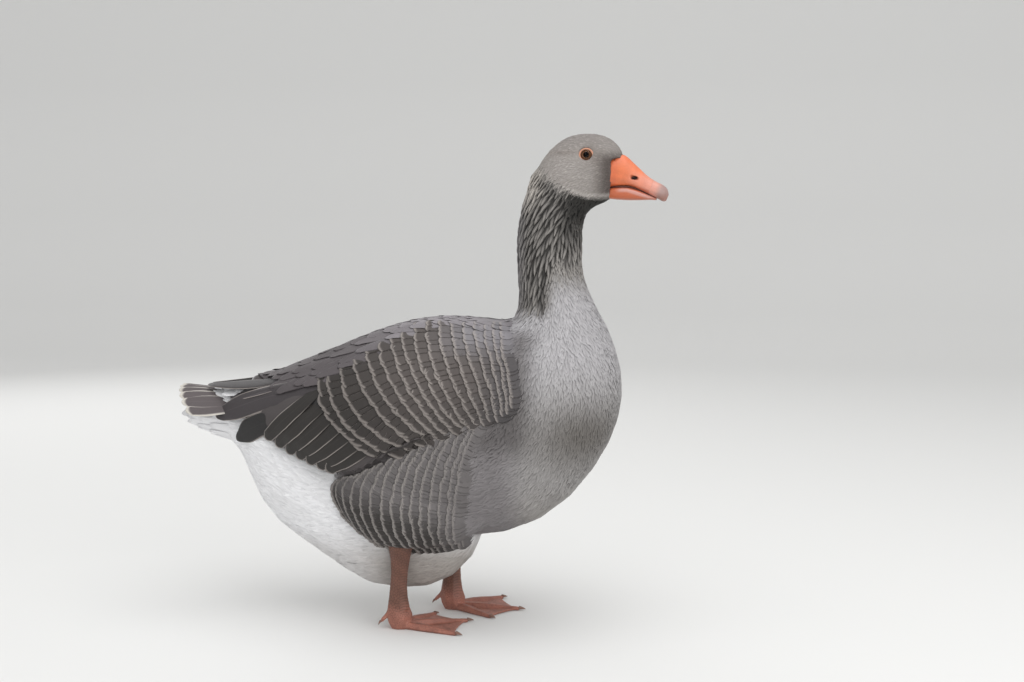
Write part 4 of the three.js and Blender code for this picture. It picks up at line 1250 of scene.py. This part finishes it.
def rowed(name, table, rows, pitch, side, reach, width, heights, tint_of, edge_of, wander=0.04, end=0.8,
          heading=None, ragged=0.7, **shape):
    """Feathers in rows over one side of the bird. reach and width are given the share along the table. The
    feathers point out of their row, or all one way with heading."""
    tips = side_rows(table, rows, pitch)
    rng = np.random.default_rng(50 + rows)
    start, there = from_side(tips[:, 0], tips[:, 1], side)
    off_back = np.abs(start[:, 1]) > 0.02  # the ridge of the back has feathers of its own
    start, tips = start[off_back], tips[there][off_back]
    x, z, way_x, way_z, share = tips.T
    count = len(tips)
    way = np.tile(heading, (count, 1)) if heading else np.stack([way_x, np.zeros(count), way_z], axis=1)
    way = unit(way + rng.normal(0, wander, (count, 3)))
    length = reach(share) * rng.uniform(0.96, 1.06, count)
    wave = np.sin(0.11 * x + 0.19 * z) + np.sin(0.23 * x - 0.13 * z + 1)
    start = start - way * (rng.uniform(-1, 1, count) * ragged + 0.6 * wave)[:, None] / 1000
    spine, up, root_uv = lay(start, way, length, VANE, back=True)
    rise = np.array(heights)[None] * rng.uniform(0.985, 1.015, (count, 1)) / 1000
    tint = tint_of(x, z) * rng.uniform(0.93, 1.07, (count, 1))
    half = width(share)[:, None] / 2 * taper(VANE, 0.5, 0.5, end)
    return feathers(name, spine, up, half, VANE, root_uv, tint, edge_of(tint, x), hug=rise, **WEB, **shape)


FLANK_ROWS = [
    (-86, 201, -110, 172, -64, 110),
    (-45, 221, -72, 172, -39, 98),
    (6, 245, -24, 175, -6, 97),
    (54, 272, 20, 188, 22, 100),
    (92, 293, 60, 204, 48, 106),
]


def flank_colour(x, z):
    return painted(paint(105, 101, 101), (ease(184, 134, z + 0.3 * x) * ease(60, 10, x), (50, 46, 44)))


def flank_edge(tint, x):
    return painted(tint, (0.45 + 0.45 * ease(80, -20, x), (166, 160, 156)))


barred = plumage_material("plumage_barred", fringe_mm=3.1, fringe=0.9, side=10, barbs=0.5, shaft=0.0,
                          root_shade=0.05, fringe_full=0.05)
for side, sign in SIDES:
    flank = rowed("feathers_flank_" + side, FLANK_ROWS, 15, lambda share: 6.0, sign,
                  lambda share: 0.036 - 0.014 * share**2, alike(0.017), [0.2, 0.9, 1.5, 2.0, 2.3, 2.45, 2.55],
                  flank_colour, flank_edge, round_tip=0.35, fray=0.1, roll=-0.015 * sign, seed=52)
    dress(flank, barred, "plumage_trunk")


# ---- Wing coverts ----
# The folded wing is tiled from the shoulder back with broad, nearly square feathers in slanting rows. They
# grow from 17 mm long at the wrist to 60 mm over the quills, and each row ends in a pale line.
COVERT_ROWS = [
    (-124, 330, -104, 280, -34, 226),
    (-104, 338, -76, 280, -8, 236),
    (-83, 350, -42, 290, 12, 248),
    (-60, 360, -22, 306, 30, 256),
    (-37, 370, 0, 312, 44, 262),
    (-20, 384, 18, 318, 58, 268),
    (0, 394, 36, 322, 72, 272),
    (21, 399, 56, 328, 84, 276),
    (42, 401, 76, 331, 96, 280),
    (62, 400, 94, 333, 108, 285),
    (80, 396, 108, 335, 118, 290),
    (98, 390, 120, 334, 126, 298),
]


def wing_colour(x, z):
    colour = painted(
        paint(78, 71, 68),
        (ease(10, -110, x), (47, 42, 39)),  # rear
        (ease(60, 115, x), (74, 70, 71)),  # wrist
        (ease(345, 380, z) * ease(0, 70, x), (124, 121, 125)),  # shoulder
    )
    # darker towards the lower edge of the wing: the coverts' own darker tone there, with painted shade over
    # the flank
    return colour * (1 - 0.35 * ease(330, 262, z)[:, None])


def wing_edge(tint, x):
    return painted(tint, (0.7 + 0.25 * ease(90, 0, x), (164, 156, 151)))


wing_vane = plumage_material("plumage_wing", roughness=0.62, fringe_mm=3.5, fringe=0.9, side=12, barbs=0.5,
                             shaft=0.05, root_shade=0.1, fringe_full=0.05)
for side, sign in SIDES:
    coverts = rowed("coverts_" + side, COVERT_ROWS, 17, lambda share: 10.5 - 5.5 * share, sign,
                    lambda share: 0.06 - 0.043 * share**0.8, lambda share: 0.031 - 0.015 * share,
                    [0.3, 1.2, 1.9, 2.5, 2.9, 3.1, 3.25], wing_colour, wing_edge, wander=0.025,
                    round_tip=0.3, fray=0.08, roll=-0.014 * sign, seed=62)
    dress(coverts, wing_vane, "plumage_wing")


# ---- Scapulars ----
# Long soft feathers run back from the shoulders over the upper edge of each folded wing.
SCAPULAR_ROWS = [
    (-190, 322, -188, 310, -178, 298),
    (-160, 340, -156, 326, -142, 310),
    (-130, 352, -124, 338, -112, 322),
    (-98, 366, -88, 352, -80, 344),
    (-60, 382, -52, 376, -44, 366),
    (-20, 392, -12, 388, -6, 380),
]


def scapular_colour(x):
    return painted(paint(134, 129, 133), (ease(0, -120, x), (80, 74, 76)))


for side, sign in SIDES:
    scapulars = rowed("scapulars_" + side, SCAPULAR_ROWS, 7, lambda share: 7, sign,
                      lambda share: 0.095 - 0.03 * share, lambda share: 0.024 - 0.004 * share,
                      [1.2, 2.0, 2.6, 3.1, 3.5, 3.6, 3.7], lambda x, z: scapular_colour(x),
                      lambda tint, x: tint * 1.5, heading=(-0.96, 0, -0.26), end=0.5, ragged=8,
                      round_tip=0.9, fray=0.05, roll=0.015 * sign, seed=72)
    dress(scapulars, wing_vane, "plumage_wing")


# ---- Feathers of the back ----
# Long soft feathers lie back in ranks over the ridge between the wings.
BACK_RANKS = ((-224, 6), (-218, 19), (-206, 32), (-196, 45))  # x of the last tip of a rank, y of the rank
tips_at = [(x, y) for last, y in BACK_RANKS for x in np.arange(last, 70, 21.0)]
BACK_RISE = np.array([[0.8, 1.6, 2.2, 2.7, 3.0, 3.2, 3.3]])
for side, sign in SIDES:
    rng = np.random.default_rng(76)
    tips, there = seen([bird(x, sign * y, 500).tolist() for x, y in tips_at], (0, 0, -1))
    count = len(tips)
    way = unit(np.array([-1, 0.1 * sign, 0]) + rng.normal(0, 0.05, (count, 3)))
    length = rng.uniform(0.05, 0.062, count)
    spine, up, root_uv = lay(tips, way, length, VANE, back=True)
    rise = BACK_RISE * rng.uniform(0.97, 1.03, (count, 1)) / 1000
    tint = scapular_colour(np.array(tips_at)[there, 0]) * rng.uniform(0.93, 1.07, (count, 1))
    half = np.full((count, 1), 0.0115) * taper(VANE, 0.6, 0.5, 0.6)
    back = feathers("feathers_back_" + side, spine, up, half, VANE, root_uv, tint, tint * 1.4, hug=rise,
                    round_tip=0.9, fray=0.08, roll=0.01 * sign, seed=77, **WEB)
    dress(back, wing_vane, "plumage_wing")


# ---- Secondaries ----
# The quills of the arm end in a fan of broad dark feathers along the rear lower edge of the wing.
SECONDARIES = [  # x and z of the tip at the edge of the wing, which way the blade points there and its length
    (-194, 246, -0.76, -0.65, 118), (-178, 238, -0.77, -0.64, 118), (-162, 231, -0.78, -0.62, 114),
    (-147, 226, -0.80, -0.60, 110), (-132, 221, -0.82, -0.57, 104), (-117, 216, -0.84, -0.54, 96),
    (-104, 213, -0.86, -0.51, 88),
]
QUILL_EDGE = paint(158, 150, 145)
quill_vane = plumage_material("plumage_quill", roughness=0.55, fringe_mm=1.5, fringe=0.9, side=1.3,
                              barbs=0.22, shaft=0.35, root_shade=0.1)


def blades(name, lines, faces, width, form, tint, edge, matter, slot, **shape):
    """Stiff feathers, each along a line of its own. form is the width at the root, the place of the full
    width and the width at the tip, as shares."""
    spine, up = np.stack(lines), np.stack(faces)
    even = np.linspace(0, 1, spine.shape[1])
    half = np.broadcast_to(np.reshape(width, (-1, 1)) / 2, (len(spine), 1)) * taper(even, *form)
    made = feathers(name, spine, up, half, even, on_skin(spine[:, 0])[2], tint, edge, **shape)
    dress(made, matter, slot)


for side, sign in SIDES:
    lines, faces = [], []
    for k, (tip_x, tip_z, way_x, way_z, long) in enumerate(SECONDARIES):
        back = np.linspace(long, 12, 9)
        places, facing, _ = on_skin(from_side(tip_x - way_x * back, tip_z - way_z * back, sign)[0])
        rise = np.linspace(0.5, 2.6 - 0.25 * k, len(places))[:, None] / 1000
        places = places + facing * rise
        onward = unit(places[-1] - places[-3])
        places = np.concatenate([places, [places[-1] + onward * 0.015]])
        lines.append(stations(places, 14))
        faces.append(unit(stations(np.concatenate([facing, facing[-1:]]), 14)))
    blades("secondaries_" + side, lines, faces, 0.0224, (0.8, 0.7, 0.72), paint(38, 34, 31), QUILL_EDGE,
           quill_vane, "plumage_wing", camber=0.05, fray=0.02, thick=0.0006, roll=0.07 * sign, seed=82)


# ---- Tertials and primaries ----
# The longest quills pass the end of the wing, over the sides of the tail, with rounded ends and narrow pale
# edges.
LONG_QUILLS = [  # x and z at the coverts and at the end of the wing, the tip, width, way it faces, colour
    (-112, 292, -203, 262, (-245, -50, 238), 32, (-0.1, -0.97, 0.2), (32, 30, 30)),
    (-108, 318, -200, 294, (-278, -36, 266), 34, (-0.1, -0.92, 0.35), (60, 55, 57)),
    (-140, 328, -200, 308, (-262, -24, 292), 30, (-0.15, -0.5, 0.85), (70, 65, 68)),
    (-150, 334, -205, 312, (-298, -8, 304), 24, (-0.1, -0.3, 0.95), (56, 52, 53)),
]
for side, sign in SIDES:
    lines, faces = [], []
    for ax, az, bx, bz, tip, _, way, _ in LONG_QUILLS:
        start, _ = from_side([ax, bx], [az, bz], sign)
        facing = on_skin(start)[1]
        mirror = (1, -sign, 1)  # the table gives the right side
        lines.append(stations(np.stack([*(start + facing * 0.0016), bird(*np.multiply(tip, mirror))]), 15))
        way = np.multiply(way, mirror)
        faces.append(unit(stations(np.stack([facing[0], facing[1] * 0.4 + way * 0.6, way]), 15)))
    blades("long_quills_" + side, lines, faces, [row[5] / 1000 for row in LONG_QUILLS], (0.75, 0.7, 0.62),
           np.stack([paint(*row[7]) for row in LONG_QUILLS]), QUILL_EDGE, quill_vane, "plumage_wing",
           camber=0.12, round_tip=0.75, fray=0.02, thick=0.0007, seed=92)


# ---- Tail ----
# A shallow fan of broad grey feathers with cream edges, over and under which the white coverts run out.
TAIL_COUNT = 11
lines, faces = [], []
for out in np.linspace(-1, 1, TAIL_COUNT):
    angle = math.radians(34 * out)
    far = 114 * (1 - 0.07 * out * out)
    tip = bird(-222 - far * math.cos(angle), far * math.sin(angle), 303 - 28 * out * out)
    root = bird(-226, 14 * out, 286 - abs(out) * 8)
    lines.append(stations(np.stack([root, (root + tip) / 2 + (0, 0, 0.002), tip]), 12))
    faces.append(np.tile(unit(np.array([0.15, out * 0.8, 1])), (12, 1)))
tail_vane = plumage_material("plumage_tail", fringe_mm=6.5, fringe=0.95, side=2.6, barbs=0.3, shaft=0.2,
                             root_shade=0.1)
blades("tail_fan", lines, faces, 0.027, (0.6, 0.7, 0.7), paint(88, 81, 82), paint(214, 209, 200), tail_vane,
       "plumage_tail", camber=0.1, round_tip=0.55, fray=0.03, thick=0.0007, roll=0.04, seed=95)

# White coverts in rings round the root of the tail, the lowest nearly as long as the fan, and three ranks of
# them across the rump.
TAIL_WEDGE = np.array([  # x, top, bottom and half width of the bundle of coverts
    (-334, 272, 256, 12), (-322, 284, 249, 23), (-306, 294, 243, 29), (-286, 299, 236, 33),
    (-264, 297, 229, 34), (-225, 296, 226, 36),
])
TAIL_RINGS = [  # x of the lowest and of the highest tips of a ring, and how far it stands out from the bundle
    (-335, -334, -13), (-331, -306, -6), (-331, -292, 0), (-315, -280, 0.8), (-297, -268, 1.6),
]
RUMP_RANKS = [  # x and z of the roots and of the tips
    (-176, 322, -232, 310), (-190, 314, -254, 303), (-208, 308, -272, 298),
]
lines, faces, widths = [], [], []
for ring, (low_tip, high_tip, stand_out) in enumerate(TAIL_RINGS):
    for k in range(15):
        angle = math.radians(-168 + 24 * k + 8 * ring)  # 0 is straight down
        lift = 0.5 - 0.5 * math.cos(angle)
        tip_x = low_tip + (high_tip - low_tip) * lift
        x = np.linspace(max(tip_x + 76, -238), tip_x, 6)
        top, bottom, wide = (np.interp(x, TAIL_WEDGE[:, 0], TAIL_WEDGE[:, c]) for c in (1, 2, 3))
        swell = np.linspace(-3, 1, 6) + stand_out
        y = np.maximum(wide + swell, 12) * math.sin(angle)
        z = (top + bottom) / 2 - np.maximum((top - bottom) / 2 + swell, 0.2) * math.cos(angle)
        lines.append(stations(np.stack([x / 1000 + ZERO_X, y / 1000, z / 1000], axis=1), 9))
        faces.append(np.tile(unit(np.array([-0.15, math.sin(angle), -math.cos(angle)])), (9, 1)))
        widths.append(0.017 - 0.002 * lift)
for root_x, root_z, tip_x, tip_z in RUMP_RANKS:
    for out in np.linspace(-1, 1, 7):
        root, tip = bird(root_x, 20 * out, root_z), bird(tip_x, 30 * out, tip_z - 5 * out * out)
        lines.append(stations(np.stack([root, (root + tip) / 2 + (0, 0, 0.001), tip]), 9))
        faces.append(np.tile(unit(np.array([0.1, out * 0.5, 1])), (9, 1)))
        widths.append(0.018)
white_tint = paint(*WHITE) * 0.94
blades("coverts_tail", lines, faces, widths, (0.7, 0.6, 0.55), white_tint, white_tint * 1.04, downy_web,
       "plumage_white", camber=0.2, round_tip=0.7, fray=0.12, thick=0.0005, roll=0.05, seed=97)
